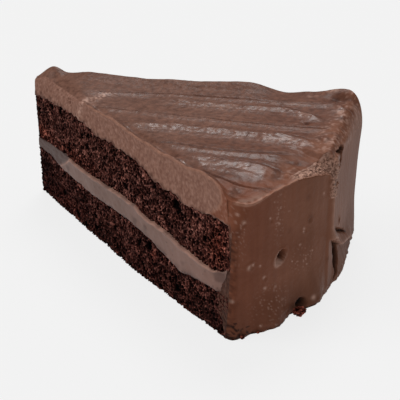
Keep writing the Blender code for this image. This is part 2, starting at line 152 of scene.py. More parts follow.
# Painted glints and paler smears on the top: place, turn, length, width and strength
TOP_SMEARS_AND_GLINTS = (
    (105.0, 38.4, 0.3, 2.2, 1.3, 1.4), (100.0, 33.2, 0.3, 2.4, 1.0, 0.7),
    (48.5, 19.5, 0.4, 4.0, 2.0, 0.6), (72.0, 29.0, 0.1, 3.5, 1.4, 0.5),
    (117.4, 23.4, -0.49, 5.0, 1.4, 1.6), (114.9, 30.6, 0.4, 1.8, 0.8, 1.3),
    (116.9, 33.4, -0.8, 3.0, 1.3, 1.0), (36.2, -14.0, -1.1, 4.4, 1.2, 0.8),
    (34.0, -10.5, 0.9, 2.0, 0.9, 0.8), (121.0, -19.0, 1.5, 3.8, 0.8, 0.7),
    (120.4, -45.8, 0.2, 3.0, 1.2, 0.9), (120.5, -42.0, 1.2, 1.4, 1.0, 0.6),
    (107.0, 17.0, -0.2, 5.0, 1.0, 0.5), (112.0, -25.5, 0.2, 7.0, 1.8, 0.5),
    (97.0, -30.5, 0.35, 5.0, 1.0, 0.4), (112.0, -2.0, 0.1, 6.0, 1.3, 0.5),
    (104.0, -5.2, 0.3, 1.8, 1.2, 0.6), (86.0, -8.0, 0.3, 5.0, 1.4, 0.4),
    (67.0, -15.5, 0.35, 5.0, 1.4, 0.4), (94.0, -22.8, 0.3, 7.0, 0.7, 0.6),
    (94.0, 23.0, 0.25, 7.0, 0.9, 0.6), (75.0, 10.0, 0.3, 13.0, 2.2, 0.35),
    (123.4, 4.8, 1.5, 3.0, 1.2, 1.9),
)

# Painted shade in dents of the top, and darker places on the rim: place, size and strength
TOP_SPOTS = (
    (108.4, 34.6, 1.8, 0.8), (111.6, 36.2, 2.0, 0.8), (109.4, 12.4, 0.9, 0.9),
    (122.8, 20.8, 1.0, 0.8),
)
RIM_SPOTS = (
    (-15.5, 31.2, 1.1, 0.6), (-16.8, 38.7, 0.9, 0.45), (-5.3, 12.4, 1.0, 0.5),
    (-45.5, 36.0, 1.2, 0.5), (-46.5, 29.0, 1.1, 0.5), (-24.0, 30.0, 0.8, 0.3),
    (9.0, 19.0, 0.9, 0.9), (10.6, 18.3, 0.9, 0.9), (-45.0, 36.0, 1.6, 0.7), (-44.6, 22.0, 1.2, 0.5),
    (-45.0, 12.0, 1.8, 0.6),
)

# Painted glints on the specks of the rim: place round it, height and radius
RIM_SPECKS = (
    (-42.6, 39.0, 0.9), (-28.3, 39.0, 0.45), (-28.7, 34.0, 0.5), (-39.7, 23.3, 1.1),
    (-38.4, 23.9, 0.7), (-33.8, 17.8, 0.75), (-33.2, 13.8, 0.75), (-45.0, 13.5, 0.75),
    (-18.0, 28.4, 0.6), (-18.0, 27.4, 0.6), (-32.6, 37.2, 0.5), (-13.8, 19.1, 0.45),
    (-19.3, 23.3, 0.55), (-9.5, 37.4, 0.6), (-29.0, 12.6, 0.55), (-35.6, 22.4, 0.5),
    (-14.2, 2.8, 1.2), (-35.5, 2.2, 0.5), (-30.5, 0.8, 0.5), (-44.0, 41.5, 0.6), (10.8, 16.4, 0.8),
    (12.2, 17.4, 0.6), (-24.6, 36.6, 0.35), (-31.0, 42.0, 0.35), (-22.4, 18.6, 0.35),
    (-16.0, 15.2, 0.35), (-27.0, 7.6, 0.4),
)
SPECK_AREAS = (
    (-28.6, 37.0, 1.8, 8.0), (-18.0, 18.0, 4.0, 4.0), (-44.0, 36.0, 2.5, 9.0),
    (-31.0, 8.0, 6.0, 5.0),
)

# The rim
FLAT_SIDE_DISTANCE = 122.2
FLAT_SIDE_NORMAL = math.radians(16.5)
RIDGE_TURN = math.radians(-3.0)
RIDGE_STEP = math.radians(0.8)
RIDGE_SWELL = 1.6
SWELL_FROM = math.radians(-13.0)
WALL_THICKNESS = 5.4
NEAR_WALL_THICKNESS = 3.2
NEAR_WALL_REACH = math.radians(5.0)
CORE_LEAN = 2.6
FLAT_SIDE_LEAN = 1.3
FLAT_SIDE_LEAN_FROM = 22.0
FOOT_HEIGHT = 14.0
FOOT_BULGE = ((-46, 0.5), (-40, 0.6), (-30, 3.2), (-22, 0.6), (-12, 2.2), (-5, 0.2), (-1, 0.4),
              (4, 1.8), (10, 2.4), (22, 2.0), (34, 1.2), (46, 0.6))
NEAR_CORNER = ((0, 3.0), (12, 1.8), (36, 1.8), (44, 6.0), (52, 6.0))
FAR_CORNER = ((0, 5.5), (14, 4.0), (24, 2.4), (38, 2.8), (44, 5.0), (50, 11.0))
CORNER_ROUNDNESS = 0.9
WALL_TOP = ((-46, 44.0), (-40, 43.4), (-30, 45.2), (-20, 45.8), (-15.5, 45.0), (-10, 43.8), (-6.8, 42.6),
            (-5.2, 40.8), (-4.0, 39.4), (-3.0, 39.6), (-2.0, 42.6), (5, 43.0), (12, 42.6), (20, 42.2),
            (30, 41.6), (38, 40.4), (46, 39.5))
EDGE_SETBACK = (
    (-46, 2.4), (-24, 2.4), (-18, 3.8), (-6, 4.2), (-2.5, 2.8), (5, 3.4), (20, 4.2), (46, 4.6),
)
TORN_SPAN = (math.radians(-9.8), math.radians(-1.7))
NEAR_LEAN = ((0, 0.3), (20, 1.3), (48, 2.6), (75, 3.4), (100, 2.9), (127, 2.0))
FAR_LEAN = ((0, 0.3), (60, 1.2), (127, 0.8))
LEAN_HEIGHT = 46.0
LEAN_SHARE = 0.7

# Mesh cells of the frosting: along the top, round its edge, down the wall and across the
# wedge, then through the depth of the near and the far cut, and across its hidden inside
TOP_CELLS = 258
EDGE_CELLS = 22
WALL_CELLS = 98
SKIN_COLUMNS = 212
NEAR_CUT_CELLS = 22
FAR_CUT_CELLS = 8
INSIDE_COLUMNS = 4

# Mesh cells of a sponge: along the wedge, across it and up
SPONGE_CELLS = (520, 6, 70)
FILLING_CELLS = (420, 6, 22)
CRUMB_CELLS = 28

# Details of the rim: places are (distance round the rim, height)
PIT_PLACE = (-27.3, 22.2)
PIT_TURN = math.radians(52.0)
PIT_LENGTH = 2.9
PIT_WIDTH = 1.9
PIT_DEPTH = 2.6
CRACK = ((3.0, 18.7), (8.0, 15.7), (14.0, 12.5), (20.0, 9.4))
CRACK_WIDTH = 0.6
CRACK_DEPTH = 2.4
FLAP_EDGE = (
    (-3.8, 19.4), (-0.5, 17.8), (4.0, 15.0), (8.0, 10.8), (11.0, 9.2), (20.6, 6.5), (28.3, 4.0),
    (36.0, 2.4),
)
FLAP_STAND = 1.2
HOLLOW_CORNERS = ((0.6, 16.4), (8.8, 9.8), (1.4, 1.0))
HOLLOW_DEPTH = 3.4
HOLLOW_SLOPE = 1.0
NOTCH_CORNERS = ((1.0, 46.9), (8.2, 46.0), (7.2, 40.0))
NOTCH_SLOPE = 0.8
NOTCH_DEPTH = 3.6

# Where the torn edge ends on the flat side: (height, place round the rim)
TORN_PATCH_END = (
    (34.2, -6.5), (34.7, 1.5), (35.8, 2.4), (36.6, -1.0), (38.2, -1.0), (39.2, 2.0), (39.8, 5.0),
    (40.6, 5.0), (41.4, 1.5), (43.0, 0.0), (45.0, -1.0), (47.0, -2.0), (50.0, -3.0),
)
TORN_PATCH_STAND = 0.55
FOLD_SPAN = (17.5, 19.5, 35.0, 38.0)
FOLD_PLACE = -3.9
FOLD_STAND = 0.9
FOLD_WIDTH = 0.8
FOOT_HOLE = (-18.6, 2.4)
FOOT_HOLE_SIZE = (2.3, 2.2)
FOOT_HOLE_DEPTH = 2.2
POCKS = ((-42.4, 38.4, 0.8), (-32.0, 36.0, 0.7), (-39.2, 23.4, 0.9), (-37.8, 23.8, 0.6),
         (-17.5, 27.4, 0.7), (-33.2, 17.2, 0.8), (-33.6, 14.0, 0.6), (-29.0, 12.6, 0.6),
         (-45.0, 14.2, 0.7), (-43.0, 12.6, 0.6), (-28.4, 35.6, 0.5), (-28.3, 38.8, 0.6),
         (-19.0, 23.2, 0.5), (-15.6, 30.4, 0.9), (-37.0, 36.0, 0.4), (9.6, 18.8, 1.0),
         (-35.5, 2.2, 0.6), (-30.5, 1.2, 0.6), (-12.6, 19.2, 0.4), (-7.4, 25.6, 0.4))

# Loose crumbs beside the rim: place round it, distance out from it and half sizes
LOOSE_CRUMBS = (
    (-22.0, 3.0, (2.2, 1.5, 1.2)), (-43.5, 1.0, (0.8, 0.6, 0.5)), (-38.0, 1.6, (0.5, 0.4, 0.3)),
)

# The lip that the knife raised along the top of the near cut, with a furrow behind it
LIP_SPAN = (36.0, 46.0, 119.0, 123.0)
LIP_HEIGHT = 0.75
LIP_WIDTH = 0.8
LIP_FURROW = 0.6
LIP_FURROW_PLACE = 2.2
LIP_FURROW_WIDTH = 1.3

# Where the near cut is rounded over instead, from the tip on
ROUND_OVER = 8.0

# Small broken bubbles in the cut frosting: distance from the tip, height and size
CUT_POCKS = (
    (25.6, 46.9, 0.8), (27.3, 47.2, 0.6), (26.3, 45.6, 0.6), (27.9, 45.8, 0.9), (24.9, 45.7, 0.5),
    (28.6, 47.0, 0.5), (42.0, 44.5, 0.6), (10.0, 45.0, 0.6), (16.5, 47.8, 0.5), (39.5, 42.5, 0.7),
    (99.0, 41.5, 0.6), (104.0, 44.0, 0.5), (109.0, 40.5, 0.5), (83.0, 43.0, 0.4), (56.0, 44.0, 0.4),
)

# The wrinkle where frosting was dragged over the edge of the near cut, with a painted highlight on it
WRINKLE = ((35.2, 43.0), (36.6, 46.5), (37.6, 50.5))
WRINKLE_WIDTH = 1.7

# Where the pale cut frosting ends beside the rim: (height, distance)
BAND_END = ((35, 111.0), (37, 113.0), (39, 116.2), (41, 118.6), (44, 120.0), (47, 119.2), (50, 117.0))

# Where the sponge ends on the near cut, under the frosting of the rim: (height, distance)
SPONGE_END = ((0, 124.6), (4, 123.4), (9, 120.2), (13, 120.0), (17, 121.8), (21, 124.0), (24, 124.8),
              (36, 124.8), (40, 122.0))

# Larger holes in the crumb of the near cut: distance from the tip, height and radius
PORES = (
    (96.5, 33.4, 1.8), (46.0, 8.6, 1.3), (32.0, 3.2, 1.2), (112.5, 28.5, 1.1), (20.5, 40.2, 1.1),
    (26.0, 26.5, 1.0), (67.0, 28.0, 1.1), (83.0, 13.0, 1.6), (60.0, 5.0, 1.0),
)

# Dark and warm places in the crumb of the near cut: distance, height, reach of each, and strength
DARK_CRUMB = ((4.0, 13.5, 7.0, 4.5, 0.95), (10.0, 6.0, 22.0, 7.0, 0.45), (8.0, 33.0, 16.0, 6.0, 0.30),
              (83.0, 12.0, 3.0, 2.0, 0.6), (120.0, 8.0, 5.0, 5.0, 0.5))
WARM_CRUMB = ((4.0, 26.0, 7.0, 3.0, 1.0), (28.0, 25.5, 16.0, 2.0, 0.6), (119.0, 28.0, 5.0, 7.0, 0.9),
              (85.5, 11.5, 2.0, 2.0, 0.9), (20.0, 4.0, 16.0, 4.0, 0.35))

# The values below were fitted to the photo. Each grain in a table named GRAINS has a
# strength, a scale, a seed and sometimes a lift, and the last two only pick its pattern. What is
# named PATCHES has a scale, a seed, and the values of the grain where a patch starts and is full.
# Of the other groups, most pairs are where something starts and ends, and most groups of four
# are where it starts, is full, begins to fade and ends.

# The crests of the ridges
CREST_RUN_OUT = 2
CREST_WANDER_GRAINS = ((0.7, (6.0, 6.0, 1.0), 0, 5.0),)
CREST_SWELL = 0.15
CREST_RAGGED_SWELL = 0.3
CREST_SWELL_GRAINS = ((1.0, (7.0, 2.4, 1.0), 3.0),)
CREST_TEAR_GRAINS = ((0.30, (4.0, 0.9, 1.0), 6.0),)
CREST_SHARPNESS = 1.3
FURROW_SHADE = 1.6
LIT_SLOPE_PLACE = 0.7
GLINT_GRAINS = ((0.10, 1.2, 0, 20.0), (0.06, (3.0, 1.6, 1.0), 0, 21.0))
SCOOP_END_STEEPNESS = 1.5

# The rest of the top
STROKE_GRAINS = ((0.10, (60.0, 2.4, 1.0), 0), (0.06, (40.0, 0.9, 1.0), 0, 4.0))
STROKE_BEND = 0.0016
STROKE_BEND_START = 60.0
STROKE_BEND_REACH = 40.0
DIMPLE_GRAINS = ((0.09, 1.5, 0, 8.0),)
DIMPLE_SPREAD_GRAINS = ((1.0, 12.0, 0, 9.0),)
ROUGH_BORDER_SPAN = (116, 121)
BORDER_GRAINS = ((0.32, 3.4, 0, 2.0), (0.20, 1.5, 0, 5.0))
BACK_GRAINS = ((0.18, 4.2, 0, 6.0),)
BACK_SLANT = 0.36
BACK_SPAN = (-6, 4)
# Painted glints and paler smears on the top
TOP_GLINT_SMEAR_STRENGTH = 0.55
TOP_GLINT_SMEAR_GRAINS = ((1.0, 1.3, 0, 3.0), (0.7, (2.6, 1.4, 1.0), 0, 4.0))
TOP_GLINT_SMEAR_SPAN = (-0.25, 0.4)
LIP_GRAINS = ((0.5, 4.0, 5.0),)
SHARP_EDGE = 0.01
ROUND_OVER_SPAN = (-4.0, 9.0, 22.0, 42.0)

# Columns of the skin: where they lie closer, with a strength, a side and a width, and wider
COLUMN_SAMPLES = 2001
COLUMN_CROWDING = ((0.8, -1.0, 0.04), (0.9, 0.13, 0.2), (0.5, 1.0, 0.05))
COLUMN_THINNING = 0.25
COLUMN_THINNING_SPAN = (0.5, 0.7)
WALL_TOP_GRAINS = ((0.25, 2.4, 7.0),)
SETBACK_GRAINS = ((0.35, 3.3, 8.0),)
AT_RIM = (CAKE_RADIUS - 14, CAKE_RADIUS - 6)

# The brim of the rim, and the torn edge beside it
BRIM_PLACE = 0.72
BRIM_NEAR_SHIFT = 0.16
NEAR_BRIM_END = (-20, -16)
BRIM_WIDTH = 0.16
BRIM_HEIGHT = 0.55
BRIM_GRAINS = ((0.5, 3.0, 9.0),)
BRIM_END = (8, 30)
TORN_GRAINS = ((0.32, 1.1, 0), (0.4, 0.6, 2.0))
TORN_OUT_SHARE = 0.6
TORN_PATCH_START = (-6.8, -5.2)
TORN_PATCH_FADE = (-0.5, 0.3)
TORN_PATCH_BORDER = (-0.6, 0.9)
TORN_PATCH_GRAINS = ((0.9, 1.6, 14.0),)
PATCH_EDGE = (0.1, 0.4)
NOTCH_EDGE = (0, 0.1)

# The pit: its side and raised lip, its painted shade, and its painted lit floor and lip
PIT_SIDE = (0.55, 1.0)
PIT_LOW_SHARE = 0.35
PIT_SLOPE = 0.9
PIT_LIP_PLACE = 1.12
PIT_LIP_WIDTH = 0.16
PIT_LIP_HEIGHT = 0.22
PIT_DARK_SIDE = (0.5, 0.8)
PIT_DARK_SLANT = 0.35
PIT_DARK_SPAN = (-0.25, 0.15)
PIT_FLOOR = (0.75, 0.32)
PIT_PALE_SLANT = 0.4
PIT_PALE_SPAN = (-0.25, 0.2)
PIT_PALENESS = 0.9
PIT_LIP_PALENESS = 0.45
PIT_PALE_LIP = (1.12, 0.12)
PIT_PALE_LIP_SPAN = (-1.0, -0.3)

# Craters: flatness, depth, sharpness, height of the edge and its place
RIM_CRATER = (0.85, 0.35, 1.5, 0.22, 1.15)
CUT_CRATER = (1.0, 0.75, 1.3, 0.30, 1.2)
CRATER_EDGE_WIDTH = 0.35

# The fold, the crack, the flap and the three-cornered holes, with painted highlights on the fold and flap
# and painted shade in the crack and holes
FOLD_WANDER_GRAINS = ((0.8, 3.1, 0),)
FOLD_LIGHT_WIDTH = 0.7
FOLD_LIGHT_SPAN = (17.5, 19.5, 36.0, 38.0)
CRACK_GRAINS = ((0.35, 1.3, 20.0),)
CRACK_SHORTENING = 1.1
CRACK_DARKNESS = 0.9
CRACK_DARK_SIDE = (0.5, 1.1)
CRACK_DARK_TAPER = 0.3
CRACK_DARK_MIDDLE = 0.45
FLAP_GRAINS = ((0.25, 1.7, 0),)
FLAP_ABOVE = (-0.35, 0.15, 0.3, 4.0)
FLAP_BELOW = (-7, -0.5, -0.5, 0)
FLAP_UNDERCUT = 0.7
FLAP_SPAN = (-5.5, -4.0, 24, 32)
FLAP_LIGHT = (0.3, 0.5)
FLAP_LIGHT_SPAN = (-5.0, -3.5, 24, 32)
TORN_SIDE_LIGHT = 0.75
TORN_SIDE_GRAINS = ((0.6, 2.0, 12.0),)
TORN_SIDE_PALENESS = 0.8
CORNER_GRAINS = ((1.6, 2.6, 17.0),)
CORNER_FINE_GRAINS = ((1.0, 0.9, 18.0),)
CORNER_HEIGHT_GRAINS = ((0.9, 2.2, 19.0),)
CORNER_FINE_ROUND = 0.5
CORNER_FINE_HEIGHT = 0.35
CORNER_MARGIN = 0.3
HOLLOW_DARKNESS = 0.92
HOLLOW_DARK_SLOPE = 0.5

# The wall and its foot, with painted shade in the foot's hole and painted glints on the rim's specks
WALL_GRAINS = ((0.22, (14.0, 26.0, 1.0), 1.0), (0.07, (1.8, 22.0, 1.0), 2.0))
FOOT_GRAINS = ((0.5, (2.6, 2.0, 1.0), 5.0), (0.25, 1.0, 6.0))
FOOT_GRAIN_SPAN = (0.8, 4.0)
FOOT_HOLE_SIDE = (0.6, 1.0)
FOOT_HOLE_DARK_SIDE = (0.55, 0.9)
SPECK_SHARE = 0.65
SPECK_AREA_STRENGTH = 0.55
SPECK_PATCHES = (0.6, 11.0, 0.28, 0.42)

# Where the skin has the colour of the wall, and where shade is painted on it
WALL_PATCHES = (4.0, 0, -0.5, 0.3)
WALL_PATCH_STRENGTH = 0.85
WALL_PATCH_REACH = (113, 120)
WALL_EDGE = (0.2, 0.6)
FLAT_FROM = 0.3
LEAST_GLOSS = 0.06
LIT_GLOSS = 0.36
CORNER_STRENGTH = 0.7
CORNER_SPAN = (-45.2, -42.6)
CORNER_CRUMBS = (-1.0, 0.8)
CORNER_TOP = 37

# Painted highlights along the thin edges
FAINTEST = 0.1
EDGE_LIGHT = 0.65
EDGE_GRAINS = ((0.7, 2.2, 7.0),)
LIP_LIGHT = 0.7
LIP_LIGHT_WIDTH = 0.35
BRIM_LIGHT = 0.8
BRIM_LIGHT_PLACE = 0.72
BRIM_LIGHT_SHIFT = 0.2
BRIM_LIGHT_WIDTH = 0.2
BRIM_START = 0.02
FLAT_BRIM_LIGHT = 0.55
FLAT_BRIM_PATCHES = (1.0, 8.0, -0.1, 0.4)
NEAR_BRIM_EXTRA = 0.6
TEAR_WIDTH = 0.08
PATCH_LIGHT = 0.8

# Dark crumbs on the foot and on the near corner, painted shade in the holes, and a painted shade line along
# the foot
CRUMB_GRAINS = ((1.0, 0.9, 3.0), (0.6, 2.4, 4.0))
HOLE_EDGE = 0.12
HOLE_REACH = (CAKE_RADIUS - 14, CAKE_RADIUS - 10)
FOOT_CRUMB_FALL = 0.10
FOOT_CRUMB_FEWER = 1.2
FOOT_CRUMB_SPAN = (-44, -34)
FOOT_CRUMBS = (-0.35, -0.05)
FOOT_CRUMB_DARKNESS = 0.85
FOOT_CRUMB_TOP = 10
FOOT_LINE_HEIGHT = (0.1, 1.0)
FOOT_LINE_PATCHES = (2.2, 13.0, -0.4, 0.1)
FOOT_LINE_DARKNESS = 0.7
FOOT_LINE_END = -12
BITS = (-0.7, 0.6)
BITS_SPAN = (-45.4, -44.0)
BITS_FEWER = 1.5
BITS_DARKNESS = 0.5
CORNER_CRUMB_TOP = (31, 35)

# Painted highlights along the brim and the tear, and painted glints beside the torn edge
PALE_BRIM = (0.62, 0.3)
PALE_BRIM_SPAN = (-45.3, -44.2, -19, -14)
PALE_BRIM_LEAST = 0.35
PALE_BRIM_FADE = (-39, -33)
PALE_BRIM_PATCHES = (1.8, 16.0, -0.3, 0.3)
PALE_TEAR = (0.06, 0.08)
PALE_TEAR_PATCHES = (1.0, 21.0, -0.5, 0.1)
PALE_EDGE_STRENGTH = 0.9
EDGE_SPECK_REACH = (113, 118)
EDGE_SPECK_TURN = (math.radians(-4.0), 0.0)
EDGE_SPECK_PATCHES = (0.9, 15.0, 0.1, 0.45)
EDGE_SPECK_STRENGTH = 0.4

# The cuts of the frosting
SPONGE_END_GRAINS = ((0.7, 2.2, 3.0), (0.5, 0.8, 4.0))
CUT_GRAINS = ((0.13, (1.5, 8.0, 1.0), 0), (0.20, 9.0, 0), (0.10, 1.1, 3.0), (0.06, 0.6, 4.0))
WRINKLE_STAND = 0.55
WRINKLE_GRAINS = ((0.7, (0.8, 2.0, 1.0), 9.0),)
WRINKLE_PATCHES = (0.9, 6.0, -0.3, 0.3)
CUT_BORDER_GRAINS = ((0.9, 2.4, 4.0), (0.4, 1.2, 5.0))
CUT_BORDER_LOWER = 0.3
CUT_BORDER_FROM = 34
CUT_BORDER_END = (116, 122)
CUT_LIP = (0.5, 0.5)
CUT_LIP_STAND = 0.5
# Painted highlight along the lip of the near cut
CUT_LIP_LIGHT = 0.8
LIP_COLUMNS = (0.5, 1.2)
CUT_STAND = 0.35
CUT_STAND_END = (112, 120)
CUT_EDGE_SHARE = 0.06
CUT_SPECK_GRAINS = ((1.0, 1.0, 2.0), (0.6, 0.5, 3.0))
CUT_SPECKS = (0.1, 0.5)
CUT_SPECK_STRENGTH = 0.28
SMEAR_GRAINS = ((1.0, 2.2, 3.0), (0.6, 0.8, 4.0))
SMEAR_FALL = 0.45
SMEAR_SPAN = (-0.5, 0.4)
SMEAR_REACH = 5
SMEAR_STRENGTH = 0.75
WALL_SMEAR_REACH = (113, 118)
WALL_SMEAR_TOP = 35
WALL_SMEAR_SPAN = (-0.5, 0.3)
WALL_SMEAR_STRENGTH = 0.7
WALL_SMEAR_LOW = 0.2
WALL_SMEAR_FOOT = (5, 9)
LOW_WALL_SHARE = 0.4
LOW_WALL_TOP = (33, 37)
BAND_GRAINS = ((0.5, 1.4, 0),)
BAND_SPAN = (-0.6, 0.4)
# Painted highlight where the pale band of the near cut ends
BAND_LIGHT = 0.7
BAND_LIGHT_WIDTH = 0.45
NEAR_CRUMBS = (-0.5, 0.4)
NEAR_CRUMB_REACH = (120, 123)
NEAR_CRUMB_DARKNESS = 0.65

# The crumb of the sponge: bubbles have a size and a seed
CORE_LEVEL = 20.0
CORE_OVERLAP = 1.0
SPONGE_NEAR_OVERLAP = 1.6
AT_CUT = 0.999
CELL_STEP = 7.3
CRUMB_WAVE = 0.3
CRUMB_WAVE_SIZE = 1.1
CRUMB_WAVE_SEEDS = (1.0, 2.0, 3.0)
SMALL_BUBBLES = (1.45, 5.0)
SMALL_BUBBLE_WALL = (0.04, 0.28)
SMALL_BUBBLE_LEAST = 0.55
SMALL_BUBBLE_DEPTH = 0.85
WIDE_BUBBLES = (2.6, 8.0)
WIDE_BUBBLE_WALL = (0.2, 0.45)
WIDE_BUBBLE_RARITY = 0.72
WIDE_BUBBLE_DEPTH = 0.8
SPONGE_GRAINS = ((0.22, 0.5, 3.0), (0.10, 3.5, 1.0))
SPONGE_WAVE_GRAINS = ((0.4, 11.0, 4.0),)
SPONGE_STAND = 0.1
PORE_DEPTH = 1.3
PORE_SIDE = (0.6, 1.1)
CRUMB_LUMPS = ((0.5, 0.8), (0.35, 0.3))
CRUMB_LIGHT = 0.05
CRUMB_WARMTH = 0.8

# The filling: it stands out past a slanted step, and spans are shares of its height or reaches
FILLING_NEAR_OVERLAP = 0.8
FILLING_STEP_SLANT = 9
FILLING_STEP = (25, 29)
FILLING_TIP_STAND = 0.05
FILLING_STAND = 0.75
FILLING_STAND_END = (113, 121)
FILLING_FOOT = (0, 0.12)
FILLING_HEAD = (0.95, 1.0)
FILLING_HEAD_LOSS = 0.45
FILLING_LIP = (0.95, 0.05)
FILLING_LIP_STAND = 0.35
FILLING_DRAG_STRETCH = 8
FILLING_GRAINS = ((0.10, (2.2, 1.6, 1.0), 0), (0.22, (7.0, 4.0, 1.0), 0))
FILLING_END = (118, 122)
FILLING_END_DEPTH = 0.7
FILLING_LOW_GRAINS = ((0.45, 2.0, 6.0), (0.25, 0.8, 7.0))
FILLING_LOW = (0, 0.3)
FILLING_HIGH_GRAINS = ((0.35, 3.0, 8.0),)
FILLING_HIGH = (0.7, 1.0)
# Painted highlight along the upper edge of the filling and down its step
FILLING_LIGHT = (0.88, 0.96)
FILLING_STEP_LIGHT = (27.5, 0.7)
FILLING_LIGHT_LEVEL = 0.7
FILLING_LIGHT_GRAINS = ((0.8, 2.5, 9.0),)
# Painted shade in patches towards the foot of the filling, darker patches at its rim, and dark crumbs along
# its borders
FILLING_PATCH_GRAINS = ((1.0, 3.0, 5.0),)
FILLING_PATCH_FALL = 0.7
FILLING_DRAWN_SPAN = (-0.05, 0.4)
FILLING_PATCH_SHADE = 0.6
FILLING_RIM = (112, 120)
FILLING_RIM_SPAN = (-0.3, 0.3)
FILLING_RIM_SHADE = 0.7
FILLING_BORDER = (0.0, 0.35)
FILLING_BORDER_TOP = 1.15
FILLING_BORDER_CRUMBS = 0.75
FILLING_HAND_SHIFT = 40
FILLING_CRUMBS = (0.55, 0.95)
FILLING_CRUMB_SHADE = 0.85
FILLING_LOW_SHADE = (60, 90)
FILLING_LOW_SHADE_LIFT = (0.0, 0.4)
FILLING_LOW_SHADE_SPAN = (-0.5, 0.2)

# Noise of the finishes: how many per metre, detail and sometimes roughness
FROSTING_CLOUDS = (55.0, 3.0)
FROSTING_SPECKLE = (560.0, 4.0, 0.6)
FROSTING_DIMPLES = (600.0, 1.0)
CUT_SPECKLE = (900.0, 2.0)
TORN_SPECKLE = (1500.0, 2.0)
STREAK_NOISE = (420.0, 3.0)
STREAK_STRETCH = (1.0, 1.0, 0.10)
SPONGE_SPECKLE = (1100.0, 2.0)
SPONGE_CLOUDS = (130.0, 3.0)
FILLING_CLOUDS = (60.0, 3.0)
FILLING_SPECKLE = (420.0, 3.0)
BUMP_DEPTH = 0.3
FROSTING_BUMP = 0.5
SPONGE_BUMP = 0.5
FILLING_BUMP = 0.25

# Colours by noise or depth: places from 0 to 1, each with its colour
SMOOTH_TONES = ((0.30, (0.116, 0.050, 0.032)), (0.70, (0.148, 0.070, 0.048)))
FROSTING_MOTTLING = ((0.36, (0.74, 0.71, 0.70)), (0.64, (1.26, 1.29, 1.30)))
WALL_TONES = ((0.30, (0.140, 0.043, 0.021)), (0.70, (0.185, 0.064, 0.035)))
STREAK_TONES = ((0.35, (0.95, 0.945, 0.94)), (0.65, (1.05, 1.055, 1.06)))
CUT_TONES = ((0.30, (0.155, 0.071, 0.050)), (0.70, (0.240, 0.122, 0.088)))
TORN_TONES = ((0.36, (0.100, 0.046, 0.031)), (0.62, (0.420, 0.240, 0.178)))
# The crumb darkens with its depth: painted shade, nearly black in the pores
CRUMB_DEPTHS = (-0.85, 0.25)
CRUMB_TONES = ((0.0, (0.0010, 0.0003, 0.0003)), (0.45, (0.0080, 0.0020, 0.0015)),
               (0.70, (0.048, 0.015, 0.011)), (1.0, (0.330, 0.152, 0.118)))
SPECKLE_TONES = ((0.36, (0.20, 0.18, 0.18)), (0.66, (1.60, 1.50, 1.50)))
PATCH_TONES = ((0.35, (0.75, 0.72, 0.72)), (0.65, (1.25, 1.22, 1.20)))
FILLING_TONES = ((0.30, (0.122, 0.068, 0.053)), (0.70, (0.164, 0.096, 0.078)))

# Tints that change along an axis: the axis, where the change starts and ends, and both tints
RIM_DRIFT = ("X", (5.0, 48.0), (1.0, 1.0, 1.0), (0.82, 0.69, 0.62))
# Painted shade on the wall: darker towards its foot
FOOT_SHADE_DRIFT = ("Z", (0.0, 14.0), (0.74, 0.74, 0.74), (1.0, 1.0, 1.0))
# Painted sheen on the wall: greyer towards the flat side, where it reflects the pale surroundings
WALL_SHEEN_DRIFT = ("Y", (-38.0, -14.0), (1.0, 1.0, 1.0), (1.06, 1.27, 1.38))
# Painted shade on the sponge: darker towards its foot, a little lighter at its top
SPONGE_SHADE_DRIFT = ("Z", (4.0, 26.0), (0.62, 0.52, 0.52), (1.12, 1.12, 1.12))
FILLING_DRIFT = ("X", (0.0, 45.0), (1.04, 1.04, 1.04), (1.40, 1.32, 1.30))

# What each mark does to a colour, in this order
# Of the frosting's marks, furrow and hollow are painted shade with some dark crumbs, edge is painted
# highlights, pale is mostly painted highlights, and smear is dark crumbs and darker patches
FROSTING_MARKS = (("smear_and_shade", "MULTIPLY", (0.30, 0.24, 0.22)), ("pale_and_highlight", "MIX", (0.400, 0.240, 0.186)),
                  ("furrow", "MULTIPLY", (0.50, 0.44, 0.42)), ("edge", "MIX", (0.310, 0.155, 0.105)),
                  ("hollow", "MIX", (0.008, 0.003, 0.002)))
SPONGE_MARKS = (("warm", "MULTIPLY", (1.5, 1.12, 0.95)), ("dark", "MULTIPLY", (0.14, 0.10, 0.12)))
# On the filling, the first mark is partly painted shade and the second a painted highlight
FILLING_MARKS = (("smear_and_shade", "MULTIPLY", (0.46, 0.42, 0.42)), ("edge_highlight", "MIX", (0.330, 0.175, 0.130)))

# Roughness of the frosting: by its speckle, on the cuts and on the flat side
FROSTING_ROUGHNESS = ((0.3, 0.7), (0.42, 0.52))
CUT_ROUGHNESS = 0.7
FLAT_SIDE_ROUGHNESS = 0.53

# The studio: lights have a name, azimuth, elevation, strength and angle
KEY_LIGHT = ("key", -50.0, 42.0, 1.45, 35.0)
BACK_LIGHT = ("back", 206.0, 56.0, 1.7, 26.0)
WORLD_SPAN = (0.25, 0.95)
WORLD_STRENGTH = (0.18, 0.52)
FLOOR_SIZE = 4000.0
FLOOR_GAP = 0.02

# The camera, fitted to the photo: place from the tip, directions and lens
CAMERA_FROM_TIP = (248.5, -249.2, 169.0)
CAMERA_AZIMUTH = math.radians(34.78)
CAMERA_PITCH = math.radians(26.72)
CAMERA_ROLL = math.radians(-0.396)
CAMERA_LENS = 87.26
CAMERA_SENSOR = 36.0
CAMERA_NEAREST = 0.01
CAMERA_FARTHEST = 20.0


def ease(value):
    """A smooth step from 0 to 1 as the value goes from 0 to 1."""
    value = np.clip(value, 0.0, 1.0)
    return value * value * (3.0 - 2.0 * value)


def rise(value, start, end):
    """0 before start, 1 after end, and smooth between them."""
    return ease((value - start) / (end - start))


def fall(value, start, end):
    """1 before start, 0 after end, and smooth between them."""
    return 1 - rise(value, start, end)


